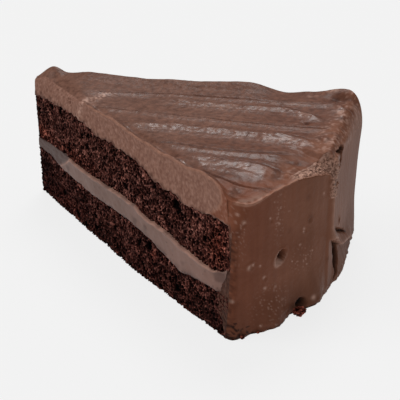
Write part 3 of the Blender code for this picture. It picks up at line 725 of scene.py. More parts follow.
def between(value, start, full, fading, end):
    """1 from full to fading, and 0 before start and after end."""
    return rise(value, start, full) * fall(value, fading, end)


def bump(value, centre=0.0, width=1.0):
    """A round bump, 1 at its centre and almost nothing past two widths on either side."""
    value = (value - centre) / width
    return np.exp(-value * value)


def strongest(*marks):
    """The largest of several marks at each point."""
    return functools.reduce(np.maximum, marks)


def straight_line(knots, distance):
    """A line that runs straight from knot to knot, each a place and a value."""
    return np.interp(distance, [knot[0] for knot in knots], [knot[1] for knot in knots])


def profile(knots, distance):
    """A smooth line through knots, each a place and a value."""
    places = np.array([knot[0] for knot in knots], dtype=float)
    values = np.array([knot[1] for knot in knots], dtype=float)
    distance = np.clip(distance, places[0], places[-1])
    after = np.clip(np.searchsorted(places, distance), 1, len(places) - 1)
    share = ease((distance - places[after - 1]) / (places[after] - places[after - 1]))
    return values[after - 1] + share * (values[after] - values[after - 1])


def grain(x, y, z, scale, seed=0.0):
    """Smooth random values between about -1 and 1, at points given by three arrays.

    The scale is one size, or one for each axis; longer along an axis gives streaks along it.
    """
    scale = np.broadcast_to(np.array(scale, dtype=float), (3,))
    x, y, z = np.broadcast_arrays(x, y, z)
    points = np.stack([x.ravel() / scale[0], y.ravel() / scale[1], z.ravel() / scale[2]], axis=1) + seed
    return np.array([noise.noise(point) for point in points.tolist()]).reshape(x.shape)


def grains(x, y, z, layers):
    """Grains of several sizes added up, as the tables of grains give them."""
    total = 0.0
    for strength, scale, seed, *lift in layers:
        total = total + strength * grain(x, y, z + sum(lift), scale, seed)
    return total


def grains_at(points, layers):
    return grains(points[..., 0], points[..., 1], points[..., 2], layers)


def patches(x, y, z, scale, seed, start, end):
    """1 in random patches and 0 between them, where a grain rises from start to end."""
    return rise(grain(x, y, z, scale, seed), start, end)


def turned(x, y, spot, turn):
    """Distances along and across a direction, from a spot."""
    x = x - spot[0]
    y = y - spot[1]
    return x * math.cos(turn) + y * math.sin(turn), y * math.cos(turn) - x * math.sin(turn)


def round_marks(x, y, spots):
    """The strongest of several round marks, each a place, a radius and a strength."""
    mark = np.zeros(np.shape(x))
    for place_x, place_y, radius, strength in spots:
        mark = np.maximum(mark, strength * bump(np.hypot(x - place_x, y - place_y), 0, radius))
    return mark


def oval_marks(x, y, ovals):
    """The strongest of several level ovals, each a place, its reach both ways and its strength."""
    mark = np.zeros(np.shape(x))
    for place_x, place_y, length, width, strength in ovals:
        mark = np.maximum(mark, strength * bump(x, place_x, length) * bump(y, place_y, width))
    return mark


def line_gap(places, x, y):
    """Distance from points to a broken line, and how far along it the nearest place is, 0 to 1."""
    best = np.full(np.shape(x), np.inf)
    along = np.zeros(np.shape(x))
    steps = len(places) - 1
    for step, (start, end) in enumerate(zip(places[:-1], places[1:])):
        run = (end[0] - start[0], end[1] - start[1])
        share = ((x - start[0]) * run[0] + (y - start[1]) * run[1]) / (run[0] ** 2 + run[1] ** 2)
        share = np.clip(share, 0, 1)
        gap = np.hypot(x - start[0] - share * run[0], y - start[1] - share * run[1])
        along = np.where(gap < best, (step + share) / steps, along)
        best = np.minimum(gap, best)
    return best, along


def turn_of(side):
    return side * HALF_WEDGE


def from_tip(points):
    """Distance of points from the tip, seen from above."""
    return np.hypot(points[..., 0] - TIP[0], points[..., 1] - TIP[1])


def place(reach, side, height):
    """Points in space for a distance from the tip, a side from -1 to 1, and a height."""
    turn = turn_of(side)
    low = np.clip(1 - height / LEAN_HEIGHT, 0, 1)
    near = profile(NEAR_LEAN, reach) * low * rise(-side, 1 - LEAN_SHARE, 1)
    far = profile(FAR_LEAN, reach) * low * rise(side, 1 - LEAN_SHARE, 1)
    stretch = TIP_STRETCH * fall(reach, 0, TIP_STRETCH_REACH)
    x = reach * np.cos(turn) - (near + far) * math.sin(HALF_WEDGE) - stretch
    y = reach * np.sin(turn) + (far - near) * math.cos(HALF_WEDGE)
    return np.stack([x + TIP[0], y + TIP[1], height + 0 * x], axis=-1)


def push_out(points, out, hand):
    """Moves points out of a cut; hand is -1 at the near cut and 1 at the far one."""
    points[..., 0] -= out * math.sin(HALF_WEDGE)
    points[..., 1] += out * math.cos(HALF_WEDGE) * hand


def move_in(points, inwards, down):
    """Moves points away from the near cut's plane and down."""
    push_out(points, -inwards, -1)
    points[..., 2] -= down


def layer_height(near_knots, far_level, reach, side):
    """Height of the face between two layers at a distance from the tip."""
    near = profile(near_knots, reach)
    far = far_level + FAR_WAVE_HEIGHT * np.sin(2 * math.pi * reach / FAR_WAVE_LENGTH)
    return near + ease((side + 1.0) / 2) * (far - near)


def frosting_underside(reach, side):
    return layer_height(FROSTING_UNDERSIDE, FAR_FROSTING_UNDERSIDE, reach, side)


def filling_top(reach, side):
    return layer_height(FILLING_TOP, FAR_FILLING_TOP, reach, side)


def filling_bottom(reach, side):
    return layer_height(FILLING_BOTTOM, FAR_FILLING_BOTTOM, reach, side)


def cake_foot(reach, side):
    return np.zeros_like(reach + side)


def crest_line(x, knots):
    """The side distance of a crest along the wedge: a smooth curve close to its places."""
    places = np.array(knots, dtype=float)
    first = places[0] + (places[0] - places[1]) * CREST_RUN_OUT
    last = places[-1] + (places[-1] - places[-2]) * CREST_RUN_OUT
    places = np.concatenate([[first], places, [last]])
    lines = [np.interp(x + step, places[:, 0], places[:, 1]) for step in CREST_SMOOTHING]
    return sum(lines) / len(lines)


def ridge_height(x, y):
    """The ridges between the strokes of the spatula, painted shade from 0 to 1 in the furrows behind them,
    and their gloss.
    """
    along = turned(x, y, (0.0, 0.0), STROKE_TURN)[0]
    height = np.zeros_like(x)
    furrow_shade = np.zeros_like(x)
    gloss = np.zeros_like(x)
    for number, (ridge, near_slope, far_slope, furrow, ragged, shine, knots) in enumerate(RIDGES):
        across = y - crest_line(x, knots) + ragged * grains(x, y, number, CREST_WANDER_GRAINS)
        slope = np.where(across < 0, near_slope, far_slope)
        start = knots[0][0]
        end = knots[-1][0]
        ends = between(x, start - RIDGE_FADE, start + RIDGE_FADE * 2, end - RIDGE_FADE, end + RIDGE_FADE / 2)
        swell = CREST_SWELL + CREST_RAGGED_SWELL * ragged
        swell = swell * grains(along, across, number, CREST_SWELL_GRAINS)
        torn = ragged * grains(along, across, number, CREST_TEAR_GRAINS)
        crest = np.exp(-np.abs(across / slope) ** CREST_SHARPNESS)
        behind = bump(across, FURROW_PLACE * far_slope, FURROW_WIDTH)
        height += ends * (ridge * crest * (1 + swell + torn) - furrow * behind)
        furrow_shade = np.maximum(furrow_shade, ends * behind * min(1.0, FURROW_SHADE * furrow))
        lit = bump(across, -LIT_SLOPE_PLACE * near_slope, near_slope)
        gloss = np.maximum(gloss, shine * ends * lit)
    return height + gloss * grains(x, y, 0, GLINT_GRAINS), furrow_shade, gloss


def scoop_height(x, y):
    """The shallow scoops and low mounds, as a height above the top."""
    height = np.zeros_like(x)
    for place_x, place_y, turn, length, width, depth in SCOOPS:
        along, across = turned(x, y, (place_x, place_y), turn)
        height -= depth * bump(along, 0, length) ** SCOOP_END_STEEPNESS * bump(across, 0, width)
    for place_x, place_y, radius, mound in MOUNDS:
        height += mound * bump(np.hypot(x - place_x, y - place_y), 0, radius)
    return height


def stroke_texture(x, y):
    """Fine furrows along the strokes, faint dimples, and rougher frosting beside the rim."""
    along, across = turned(x, y, (0.0, 0.0), STROKE_TURN)
    across = across + STROKE_BEND * (along - STROKE_BEND_START) ** 2 * rise(-y, 0, STROKE_BEND_REACH)
    dimples = grains(x, y, 0, DIMPLE_GRAINS) * ease(0.5 + grains(x, y, 0, DIMPLE_SPREAD_GRAINS))
    border = rise(np.hypot(x, y), *ROUGH_BORDER_SPAN) * grains(x, y, 0, BORDER_GRAINS)
    back = grains(x, y, 0, BACK_GRAINS) * rise(y - BACK_SLANT * x, *BACK_SPAN)
    return grains(along, across, 0, STROKE_GRAINS) + dimples + border + back


def edge_lip(reach, from_near):
    """The raised lip along the near cut, and the furrow behind it."""
    lip = LIP_HEIGHT * (1 + grains(reach, 0, 0, LIP_GRAINS)) * bump(from_near, 0, LIP_WIDTH)
    lip -= LIP_FURROW * bump(from_near, LIP_FURROW_PLACE, LIP_FURROW_WIDTH)
    return lip * between(reach, *LIP_SPAN)


def round_over(reach):
    """Radius to which the edge of the near cut is rounded over, large towards the tip."""
    return SHARP_EDGE + ROUND_OVER * between(reach, *ROUND_OVER_SPAN)


def round_shift(surface_place, radius):
    """How far a point moves in and down, where an edge is rounded over.

    The place is the distance from the edge, above 0 on the top and below 0 on the cut.
    """
    angle = math.pi / 4 * (1 - np.clip(surface_place / radius, -1, 1))
    inwards = radius * (1 - np.sin(angle)) - np.clip(surface_place, 0, radius)
    down = radius * (1 - np.cos(angle)) - np.clip(-surface_place, 0, radius)
    return inwards, down


def flat_share(turn):
    """0 on the round part of the rim, and 1 on its flat side."""
    return rise(turn, RIDGE_TURN, RIDGE_TURN + RIDGE_STEP)


def top_height(reach, side):
    """Height of the frosted top at a distance from the tip, painted shade from 0 to 1 in its furrows, and
    its gloss.
    """
    turn = turn_of(side)
    x = reach * np.cos(turn)
    y = reach * np.sin(turn)
    from_near = reach * np.sin(turn + HALF_WEDGE)
    from_far = reach * np.sin(HALF_WEDGE - turn)
    height = TOP_LEVEL + FAR_RISE * rise(from_near, *FAR_RISE_SPAN)
    height = height + TIP_RISE * fall(reach, *TIP_RISE_SPAN)
    height = height - TIP_DROP * fall(reach, 0, TIP_DROP_REACH)
    height = height - RIM_DROP * rise(reach, *RIM_DROP_SPAN) * (1 - flat_share(turn))
    height = height + profile(NEAR_LIP, reach) * fall(from_near, 0, LIP_REACH)
    far_lip = FAR_LIP_SHARE * fall(from_far, 0, LIP_REACH)
    far_lip = far_lip + (1 - FAR_LIP_SHARE) * fall(from_far, 0, FAR_LIP_REACH)
    height = height + profile(FAR_LIP, reach) * far_lip
    height = height + edge_lip(reach, from_near)
    ridges, furrow_shade, gloss = ridge_height(x, y)
    return height + ridges + scoop_height(x, y) + stroke_texture(x, y), furrow_shade, gloss


def smooth_rim(turn):
    """Radius of the rim without its foot and corners: an arc, then a flat side."""
    arc = CAKE_RADIUS + RIDGE_SWELL * rise(turn, SWELL_FROM, RIDGE_TURN)
    flat = FLAT_SIDE_DISTANCE / np.cos(turn - FLAT_SIDE_NORMAL)
    return arc + flat_share(turn) * (flat - arc)


def corner_loss(turn, height):
    """How much the rounded corners at the two cuts take off the rim."""
    loss = np.zeros_like(turn + height)
    for cut_turn, sizes in ((-HALF_WEDGE, NEAR_CORNER), (HALF_WEDGE, FAR_CORNER)):
        size = profile(sizes, height)
        share = np.clip(1 - np.abs(turn - cut_turn) * CAKE_RADIUS / size, 0, 1)
        loss = loss + CORNER_ROUNDNESS * size * (1 - np.sqrt(1 - share * share))
    return loss


def rim_radius(turn, height):
    """Radius of the outer face of the frosting wall."""
    foot = profile(FOOT_BULGE, turn * CAKE_RADIUS) * fall(height, 0, FOOT_HEIGHT)
    lean = FLAT_SIDE_LEAN * rise(height, FLAT_SIDE_LEAN_FROM, CAKE_HEIGHT) * rise(turn, 0, HALF_WEDGE)
    return smooth_rim(turn) + foot + lean - corner_loss(turn, height)


def core_radius(turn, height):
    """Radius of the sponge and filling inside the frosting wall."""
    near_share = fall(turn, -HALF_WEDGE, -HALF_WEDGE + NEAR_WALL_REACH)
    thickness = WALL_THICKNESS + near_share * (NEAR_WALL_THICKNESS - WALL_THICKNESS)
    lean = CORE_LEAN * (1 - height / FAR_FROSTING_UNDERSIDE)
    return smooth_rim(turn) - thickness - lean


def pit_place(place_round, height):
    """Places along and across the teardrop pit, 1 at its edge, and the distance from its middle."""
    along, across = turned(place_round, height, PIT_PLACE, PIT_TURN)
    along = along / PIT_LENGTH
    across = across / PIT_WIDTH
    return along, across, np.hypot(along, across)


def pit_relief(place_round, height):
    """The teardrop pit: steep at its upper end, and sloping out at its lower end."""
    along, _, gap = pit_place(place_round, height)
    depth = PIT_LOW_SHARE + (1 - PIT_LOW_SHARE) * ease(0.5 + along * PIT_SLOPE)
    lip = PIT_LIP_HEIGHT * bump(gap, PIT_LIP_PLACE, PIT_LIP_WIDTH)
    return lip - PIT_DEPTH * depth * fall(gap, *PIT_SIDE)


def craters(x, y, places, flatness, depth, sharpness, edge, edge_place):
    """Small broken bubbles, each a little crater with a raised edge."""
    relief = np.zeros_like(x + y)
    for place_x, place_y, size in places:
        gap = np.hypot(x - place_x, (y - place_y) * flatness) / size
        relief += size * (edge * bump(gap, edge_place, CRATER_EDGE_WIDTH) - depth * bump(gap * sharpness))
    return relief


def fold_gap(place_round, height):
    """Distance from the wandering fold beside the torn side."""
    return place_round - FOLD_PLACE - grains(height, 0, 0, FOLD_WANDER_GRAINS)


def crack_gap(place_round, height):
    """Distance from the ragged crack, and the share of the way along it."""
    gap, share = line_gap(CRACK, place_round, height)
    return gap + grains(place_round, height, 0, CRACK_GRAINS), share


def foot_hole_gap(place_round, height):
    """Distance from the middle of the hole in the foot, 1 at its edge."""
    return np.hypot((place_round - FOOT_HOLE[0]) / FOOT_HOLE_SIZE[0],
                    (height - FOOT_HOLE[1]) / FOOT_HOLE_SIZE[1])


def corner_share(corners, place_round, height, slope):
    """1 inside a three-cornered place with ragged sides, falling to 0 at them."""
    inside = np.full(np.shape(place_round + height), np.inf)
    fine = grains(place_round, height, 0, CORNER_FINE_GRAINS)
    place_round = place_round + grains(place_round, height, 0, CORNER_GRAINS) + CORNER_FINE_ROUND * fine
    height = height + grains(place_round, height, 0, CORNER_HEIGHT_GRAINS) + CORNER_FINE_HEIGHT * fine
    for start, end in zip(corners, corners[1:] + corners[:1]):
        run = (end[0] - start[0], end[1] - start[1])
        gap = run[1] * (place_round - start[0]) - run[0] * (height - start[1])
        inside = np.minimum(inside, gap / math.hypot(*run))
    return rise(inside, -CORNER_MARGIN, slope)


def torn_side_relief(place_round, height):
    """The fold, the crack, the flap under it and the hollow where the rim's flat side begins."""
    fold = FOLD_STAND * bump(fold_gap(place_round, height), 0, FOLD_WIDTH) * between(height, *FOLD_SPAN)

    gap, share = crack_gap(place_round, height)
    swell = np.sin(math.pi * np.clip(share * CRACK_SHORTENING, 0, 1)) ** 0.5
    crack = -CRACK_DEPTH * bump(gap, 0, CRACK_WIDTH) * swell

    above = height - straight_line(FLAP_EDGE, place_round) - grains(place_round, 0, 0, FLAP_GRAINS)
    ledge = FLAP_STAND * between(above, *FLAP_ABOVE) - FLAP_UNDERCUT * between(above, *FLAP_BELOW)
    ledge = ledge * between(place_round, *FLAP_SPAN)

    hollow = HOLLOW_DEPTH * corner_share(HOLLOW_CORNERS, place_round, height, HOLLOW_SLOPE)
    return fold + crack + ledge - hollow


def notch_relief(place_round, height):
    """The narrow hole between the torn edge and the flat side."""
    return -NOTCH_DEPTH * corner_share(NOTCH_CORNERS, place_round, height, NOTCH_SLOPE)


def torn_patch(place_round, height):
    """1 where the torn edge laps over the flat side, and 1 along its light border."""
    end = straight_line(TORN_PATCH_END, height) + grains(place_round, height, 0, TORN_PATCH_GRAINS)
    inside = rise(place_round, *TORN_PATCH_START) * fall(place_round - end, *TORN_PATCH_FADE)
    inside = inside * (height > TORN_PATCH_END[0][0])
    return inside, inside * bump(place_round - end, *TORN_PATCH_BORDER)


def foot_relief(place_round, height):
    """The ragged foot of the rim, with the hole above the fallen crumb."""
    ragged = grains(place_round, height, 0, FOOT_GRAINS) * fall(height, *FOOT_GRAIN_SPAN)
    return ragged - FOOT_HOLE_DEPTH * fall(foot_hole_gap(place_round, height), *FOOT_HOLE_SIDE)


def wall_relief(place_round, height):
    """How far the outer face of the wall stands out from its smooth form."""
    relief = grains(place_round, height, 0, WALL_GRAINS)
    relief = relief + pit_relief(place_round, height) + craters(place_round, height, POCKS, *RIM_CRATER)
    return relief + torn_side_relief(place_round, height) + foot_relief(place_round, height)


def hole_shade_mark(place_round, height):
    """Painted shade deep in the holes of the rim: 1 there, and 0 outside them."""
    along, across, gap = pit_place(place_round, height)
    pit = fall(gap, *PIT_DARK_SIDE) * rise(along - PIT_DARK_SLANT * across, *PIT_DARK_SPAN)
    gap, share = crack_gap(place_round, height)
    gap = gap + CRACK_DARK_TAPER * np.abs(share - CRACK_DARK_MIDDLE)
    crack = CRACK_DARKNESS * fall(gap / CRACK_WIDTH, *CRACK_DARK_SIDE)
    hollow = HOLLOW_DARKNESS * corner_share(HOLLOW_CORNERS, place_round, height, HOLLOW_DARK_SLOPE)
    notch = HOLLOW_DARKNESS * corner_share(NOTCH_CORNERS, place_round, height, HOLLOW_DARK_SLOPE)
    hole = fall(foot_hole_gap(place_round, height), *FOOT_HOLE_DARK_SIDE)
    return strongest(pit, crack, hollow, notch, hole)


def torn_side_highlight_mark(place_round, height):
    """Painted highlights along the edges of the fold and of the flap on the torn side."""
    fold = bump(fold_gap(place_round, height), 0, FOLD_LIGHT_WIDTH) * between(height, *FOLD_LIGHT_SPAN)
    above = height - straight_line(FLAP_EDGE, place_round)
    flap = bump(above, *FLAP_LIGHT) * between(place_round, *FLAP_LIGHT_SPAN)
    uneven = TORN_SIDE_LIGHT + grains(place_round, height, 0, TORN_SIDE_GRAINS)
    return np.clip(uneven, FAINTEST, 1) * np.maximum(fold, flap)


def torn_share(turn):
    """1 where the upper edge of the rim is torn and granular, and 0 elsewhere."""
    start, end = TORN_SPAN
    return between(turn, start - RIDGE_STEP, start + RIDGE_STEP, end, end + RIDGE_STEP)


def top_smear_and_glint_mark(x, y):
    """Painted glints and paler smears on the top, broken up into grains."""
    mark = np.zeros_like(x)
    for place_x, place_y, turn, length, width, strength in TOP_SMEARS_AND_GLINTS:
        along, across = turned(x, y, (place_x, place_y), turn)
        mark = np.maximum(mark, strength * bump(along, 0, length) * bump(across, 0, width))
    return TOP_GLINT_SMEAR_STRENGTH * mark * rise(grains(x, y, 0, TOP_GLINT_SMEAR_GRAINS), *TOP_GLINT_SMEAR_SPAN)


def rim_glint_mark(place_round, height):
    """Painted glints on the specks and broken bubbles of the rim, and a painted lit floor in the pit."""
    specks = [(x, z, radius * SPECK_SHARE, 1.0) for x, z, radius in RIM_SPECKS]
    areas = oval_marks(place_round, height, [(*area, SPECK_AREA_STRENGTH) for area in SPECK_AREAS])
    fine = patches(place_round, height, 0, *SPECK_PATCHES)
    along, across, gap = pit_place(place_round, height)
    floor = bump(gap, *PIT_FLOOR) * rise(PIT_PALE_SLANT * across - along, *PIT_PALE_SPAN)
    lip = PIT_LIP_PALENESS * bump(gap, *PIT_PALE_LIP) * rise(-along, *PIT_PALE_LIP_SPAN)
    pit = PIT_PALENESS * np.clip(floor + lip, 0, 1)
    return strongest(round_marks(place_round, height, specks), areas * fine, pit)


def skin_columns():
    """Sides of the frosting's columns, closer together at the corners and at the torn side."""
    fine = np.linspace(-1, 1, COLUMN_SAMPLES)
    density = 1 - COLUMN_THINNING * rise(fine, *COLUMN_THINNING_SPAN)
    for strength, centre, width in COLUMN_CROWDING:
        density = density + strength * bump(fine, centre, width)
    total = np.concatenate([[0], np.cumsum((density[1:] + density[:-1]) / 2)])
    return np.interp(np.linspace(0, total[-1], SKIN_COLUMNS + 1), total, fine)


def skin_rows(side):
    """The frosting's outer face before its relief: the top, its rounded or torn edge, and the wall.

    down_share is 0 on the top, 1 on the wall, and between them on the edge.
    """
    side = side[None, :]
    turn = turn_of(side)
    place_round = turn * CAKE_RADIUS
    wall_top = profile(WALL_TOP, place_round) + grains(place_round, 0, 0, WALL_TOP_GRAINS)
    rim = rim_radius(turn, wall_top)
    edge_reach = rim - profile(EDGE_SETBACK, place_round) + grains(place_round, 0, 0, SETBACK_GRAINS)

    share = np.linspace(0, 1, TOP_CELLS + 1)[:, None]
    top_reach = TIP_BLUNTNESS + share * (edge_reach - TIP_BLUNTNESS)
    top, furrow_shade, shine = top_height(top_reach, side + 0 * top_reach)

    bend = np.linspace(0, math.pi / 2, EDGE_CELLS + 2)[1:-1, None]
    straight = bend / (math.pi / 2)
    torn = torn_share(turn)
    out = np.sin(bend) + torn * (straight - np.sin(bend))
    down = 1 - np.cos(bend) + torn * (straight - 1 + np.cos(bend))
    edge_out = edge_reach + out * (rim - edge_reach)
    edge_down = top[-1:] + down * (wall_top - top[-1:])

    wall_height = np.linspace(1, 0, WALL_CELLS + 1)[:, None] * wall_top
    wall_reach = rim_radius(turn + 0 * wall_height, wall_height)

    reach = np.concatenate([top_reach, edge_out, wall_reach])
    down_share = np.concatenate([0 * top_reach, straight + 0 * edge_out, 1 + 0 * wall_reach])
    plain = np.zeros((len(reach) - len(top), side.size))
    return SimpleNamespace(
        reach=reach,
        height=np.concatenate([top, edge_down, wall_height]),
        side=side + 0 * reach,
        turn=turn,
        place_round=place_round + 0 * reach,
        torn=torn,
        down_share=down_share,
        on_edge=(down_share > 0) & (down_share < 1),
        on_wall=down_share == 1,
        furrow_shade=np.concatenate([furrow_shade, plain]),
        shine=np.concatenate([shine, plain]),
    )


def add_relief(skin):
    """Adds the brim, the relief of the wall, the notch and the torn patch, and makes the points."""
    place_round = skin.place_round
    height = skin.height
    at_rim = rise(skin.reach, *AT_RIM)
    brim_place = BRIM_PLACE + BRIM_NEAR_SHIFT * fall(place_round, *NEAR_BRIM_END)
    brim = bump(skin.down_share, brim_place, BRIM_WIDTH) * (1 - skin.torn) * (skin.down_share < 1)
    brim = brim * (1 + grains(place_round, 0, 0, BRIM_GRAINS)) * fall(place_round, *BRIM_END)
    patch, skin.patch_border = torn_patch(place_round, height)
    skin.patch = patch * at_rim * rise(skin.down_share, *PATCH_EDGE)
    reach = skin.reach + wall_relief(place_round, height) * at_rim * skin.down_share
    reach = reach + notch_relief(place_round, height) * at_rim * rise(skin.down_share, *NOTCH_EDGE)
    skin.reach = reach + BRIM_HEIGHT * brim + TORN_PATCH_STAND * skin.patch
    skin.height = height + BRIM_HEIGHT * brim
    skin.points = place(skin.reach, skin.side, skin.height)


def round_near_edge(skin):
    """Rounds the top over towards the near cut."""
    rows = TOP_CELLS + 1
    reach = skin.reach[:rows]
    from_near = reach * np.sin(skin.turn + HALF_WEDGE)
    inwards, down = round_shift(from_near, round_over(reach))
    move_in(skin.points[:rows], inwards, down)


def tear_edge(skin):
    """Breaks the torn edge up into grains."""
    rough = skin.torn * np.sin(math.pi * np.clip(skin.down_share, 0, 1)) ** 0.5
    skin.rough = np.maximum(np.where(skin.on_edge, rough, 0), skin.patch)
    crumbs = grains_at(skin.points, TORN_GRAINS) * skin.rough
    skin.points[..., 2] += crumbs
    skin.points[..., 0] += crumbs * TORN_OUT_SHARE


def skin_wall_mark(skin):
    """1 where the frosting has the colour of the wall: below its edge, and in patches beside it."""
    border = patches(skin.points[..., 0], skin.points[..., 1], 0, *WALL_PATCHES)
    border = WALL_PATCH_STRENGTH * rise(skin.reach, *WALL_PATCH_REACH) * border
    return np.maximum(rise(skin.down_share, *WALL_EDGE), border)


def skin_furrow_shade_mark(skin):
    """Painted shade, 1 at most, in the furrows and dents of the top and on the near corner of the rim, and
    darker spots on the rim.
    """
    spots = (skin.down_share < 0.5) * round_marks(skin.x, skin.y, TOP_SPOTS)
    spots = spots + skin.on_wall * round_marks(skin.place_round, skin.height, RIM_SPOTS)
    corner = CORNER_STRENGTH * fall(skin.place_round, *CORNER_SPAN) * rise(skin.crumby, *CORNER_CRUMBS)
    return strongest(skin.furrow_shade, spots, corner * skin.on_wall * (skin.height < CORNER_TOP))


def skin_edge_highlight_mark(skin):
    """Painted highlights, 1 at most, along the thin edges: the lip of the near cut, the brim of the rim, and
    the tear.
    """
    x, y, z = np.moveaxis(skin.points, -1, 0)
    from_near = skin.reach * np.sin(skin.turn + HALF_WEDGE)
    uneven = EDGE_LIGHT + grains(x, y, 0, EDGE_GRAINS)
    lip = bump(from_near, 0, LIP_LIGHT_WIDTH) * between(skin.reach, *LIP_SPAN) * (skin.down_share == 0)
    wide = fall(skin.turn * CAKE_RADIUS, *NEAR_BRIM_END)
    brim = bump(skin.down_share, BRIM_LIGHT_PLACE + BRIM_LIGHT_SHIFT * wide, BRIM_LIGHT_WIDTH)
    brim = brim * (1 - skin.torn) * skin.on_edge * rise(skin.turn + HALF_WEDGE, 0, BRIM_START)
    flat = flat_share(skin.turn)
    brim = brim * (1 - flat + FLAT_BRIM_LIGHT * flat * patches(x, y, z, *FLAT_BRIM_PATCHES))
    brim = np.clip(brim * (1 + NEAR_BRIM_EXTRA * wide), 0, 1)
    tear = skin.torn * bump(skin.down_share, 1.0, TEAR_WIDTH) * skin.on_edge
    light = np.clip(uneven, FAINTEST, 1) * np.clip(LIP_LIGHT * lip + BRIM_LIGHT * brim + tear, 0, 1)
    return np.maximum(light, PATCH_LIGHT * skin.patch_border * skin.patch)


def skin_shade_and_crumb_mark(skin):
    """Painted shade in the holes and along the foot's edge, and dark crumbs on the foot and near corner."""
    place_round = skin.place_round
    height = skin.height
    holes = hole_shade_mark(place_round, height) * (skin.down_share > HOLE_EDGE) * rise(skin.reach, *HOLE_REACH)
    few = FOOT_CRUMB_FALL * height + FOOT_CRUMB_FEWER * rise(place_round, *FOOT_CRUMB_SPAN)
    crumbs = FOOT_CRUMB_DARKNESS * rise(skin.crumby - few, *FOOT_CRUMBS) * (height < FOOT_CRUMB_TOP)
    foot = fall(height, *FOOT_LINE_HEIGHT) * patches(place_round, 0, 0, *FOOT_LINE_PATCHES)
    foot = FOOT_LINE_DARKNESS * foot * (place_round < FOOT_LINE_END)
    bits = rise(skin.crumby - BITS_FEWER * rise(place_round, *BITS_SPAN), *BITS)
    bits = BITS_DARKNESS * bits * fall(height, *CORNER_CRUMB_TOP)
    return strongest(holes, skin.on_wall * strongest(crumbs, foot, bits))


def skin_pale_and_highlight_mark(skin):
    """Painted highlights: glints and smears on the top, along the brim and the tear, and on the rim's
    specks.
    """
    x, y, height = skin.x, skin.y, skin.height
    place_round = skin.place_round
    smears_and_glints = (skin.down_share < 1) * top_smear_and_glint_mark(x, y)
    brim = bump(skin.down_share, *PALE_BRIM) * between(place_round, *PALE_BRIM_SPAN)
    brim = brim * (PALE_BRIM_LEAST + (1 - PALE_BRIM_LEAST) * fall(place_round, *PALE_BRIM_FADE))
    brim = brim * patches(x, y, height, *PALE_BRIM_PATCHES)
    tear = skin.torn * bump(skin.down_share, *PALE_TEAR) * patches(x, y, height, *PALE_TEAR_PATCHES)
    on_edge = PALE_EDGE_STRENGTH * skin.on_edge * np.maximum(brim, tear)
    specks = rise(skin.reach, *EDGE_SPECK_REACH) * rise(skin.turn, *EDGE_SPECK_TURN) * (skin.down_share < 1)
    specks = EDGE_SPECK_STRENGTH * specks * patches(x, y, height, *EDGE_SPECK_PATCHES)
    torn_side = TORN_SIDE_PALENESS * torn_side_highlight_mark(place_round, height)
    on_wall = skin.on_wall * np.maximum(rim_glint_mark(place_round, height), torn_side)
    return strongest(smears_and_glints, on_edge, specks, on_wall)


def frosting_skin(side):
    """The outer face of the frosting as a grid of points, and the marks for its colour, painted shade and
    highlights among them.
    """
    skin = skin_rows(side)
    add_relief(skin)
    round_near_edge(skin)
    tear_edge(skin)
    skin.x = skin.reach * np.cos(skin.turn)
    skin.y = skin.reach * np.sin(skin.turn)
    skin.crumby = grains(skin.place_round, skin.height, 0, CRUMB_GRAINS)
    return skin.points, {
        "torn": skin.rough,
        "wall": skin_wall_mark(skin),
        "furrow": skin_furrow_shade_mark(skin),
        "edge": skin_edge_highlight_mark(skin),
        "hollow": skin_shade_and_crumb_mark(skin),
        "gloss": LEAST_GLOSS + LIT_GLOSS * skin.shine,
        "pale_and_highlight": skin_pale_and_highlight_mark(skin),
        "flat": (skin.down_share > FLAT_FROM) * flat_share(skin.turn),
    }


def frosting_inside(rows, side):
    """The hidden face over the sponge, with as many rows as the skin."""
    top_rows = TOP_CELLS + EDGE_CELLS // 2
    share = np.linspace(0, 1, top_rows + 1)[:, None]
    side = side[None, :]
    rim = core_radius(turn_of(side), frosting_underside(np.full_like(side, CAKE_RADIUS), side))
    reach = TIP_BLUNTNESS + share * (rim - TIP_BLUNTNESS)
    height = frosting_underside(reach, side + 0 * reach)
    wall_height = np.linspace(1, 0, rows - top_rows)[1:, None] * height[-1:]
    wall_reach = core_radius(turn_of(side) + 0 * wall_height, wall_height)
    near_height = wall_height[:, 0]
    wall_reach[:, 0] = profile(SPONGE_END, near_height) + grains(near_height, 0, 0, SPONGE_END_GRAINS)
    reach = np.concatenate([reach, wall_reach])
    height = np.concatenate([height, wall_height])
    return place(reach, side + 0 * reach, height)


def cut_relief(reach, height, hand):
    """How far a cut of the frosting stands out: marks of the knife, bubbles and the wrinkle."""
    wrinkle = bump(line_gap(WRINKLE, reach, height)[0], 0, WRINKLE_WIDTH)
    wrinkle = wrinkle * (WRINKLE_STAND + grains(reach, height, hand, WRINKLE_GRAINS))
    return grains(reach, height, hand, CUT_GRAINS) + craters(reach, height, CUT_POCKS, *CUT_CRATER) + wrinkle


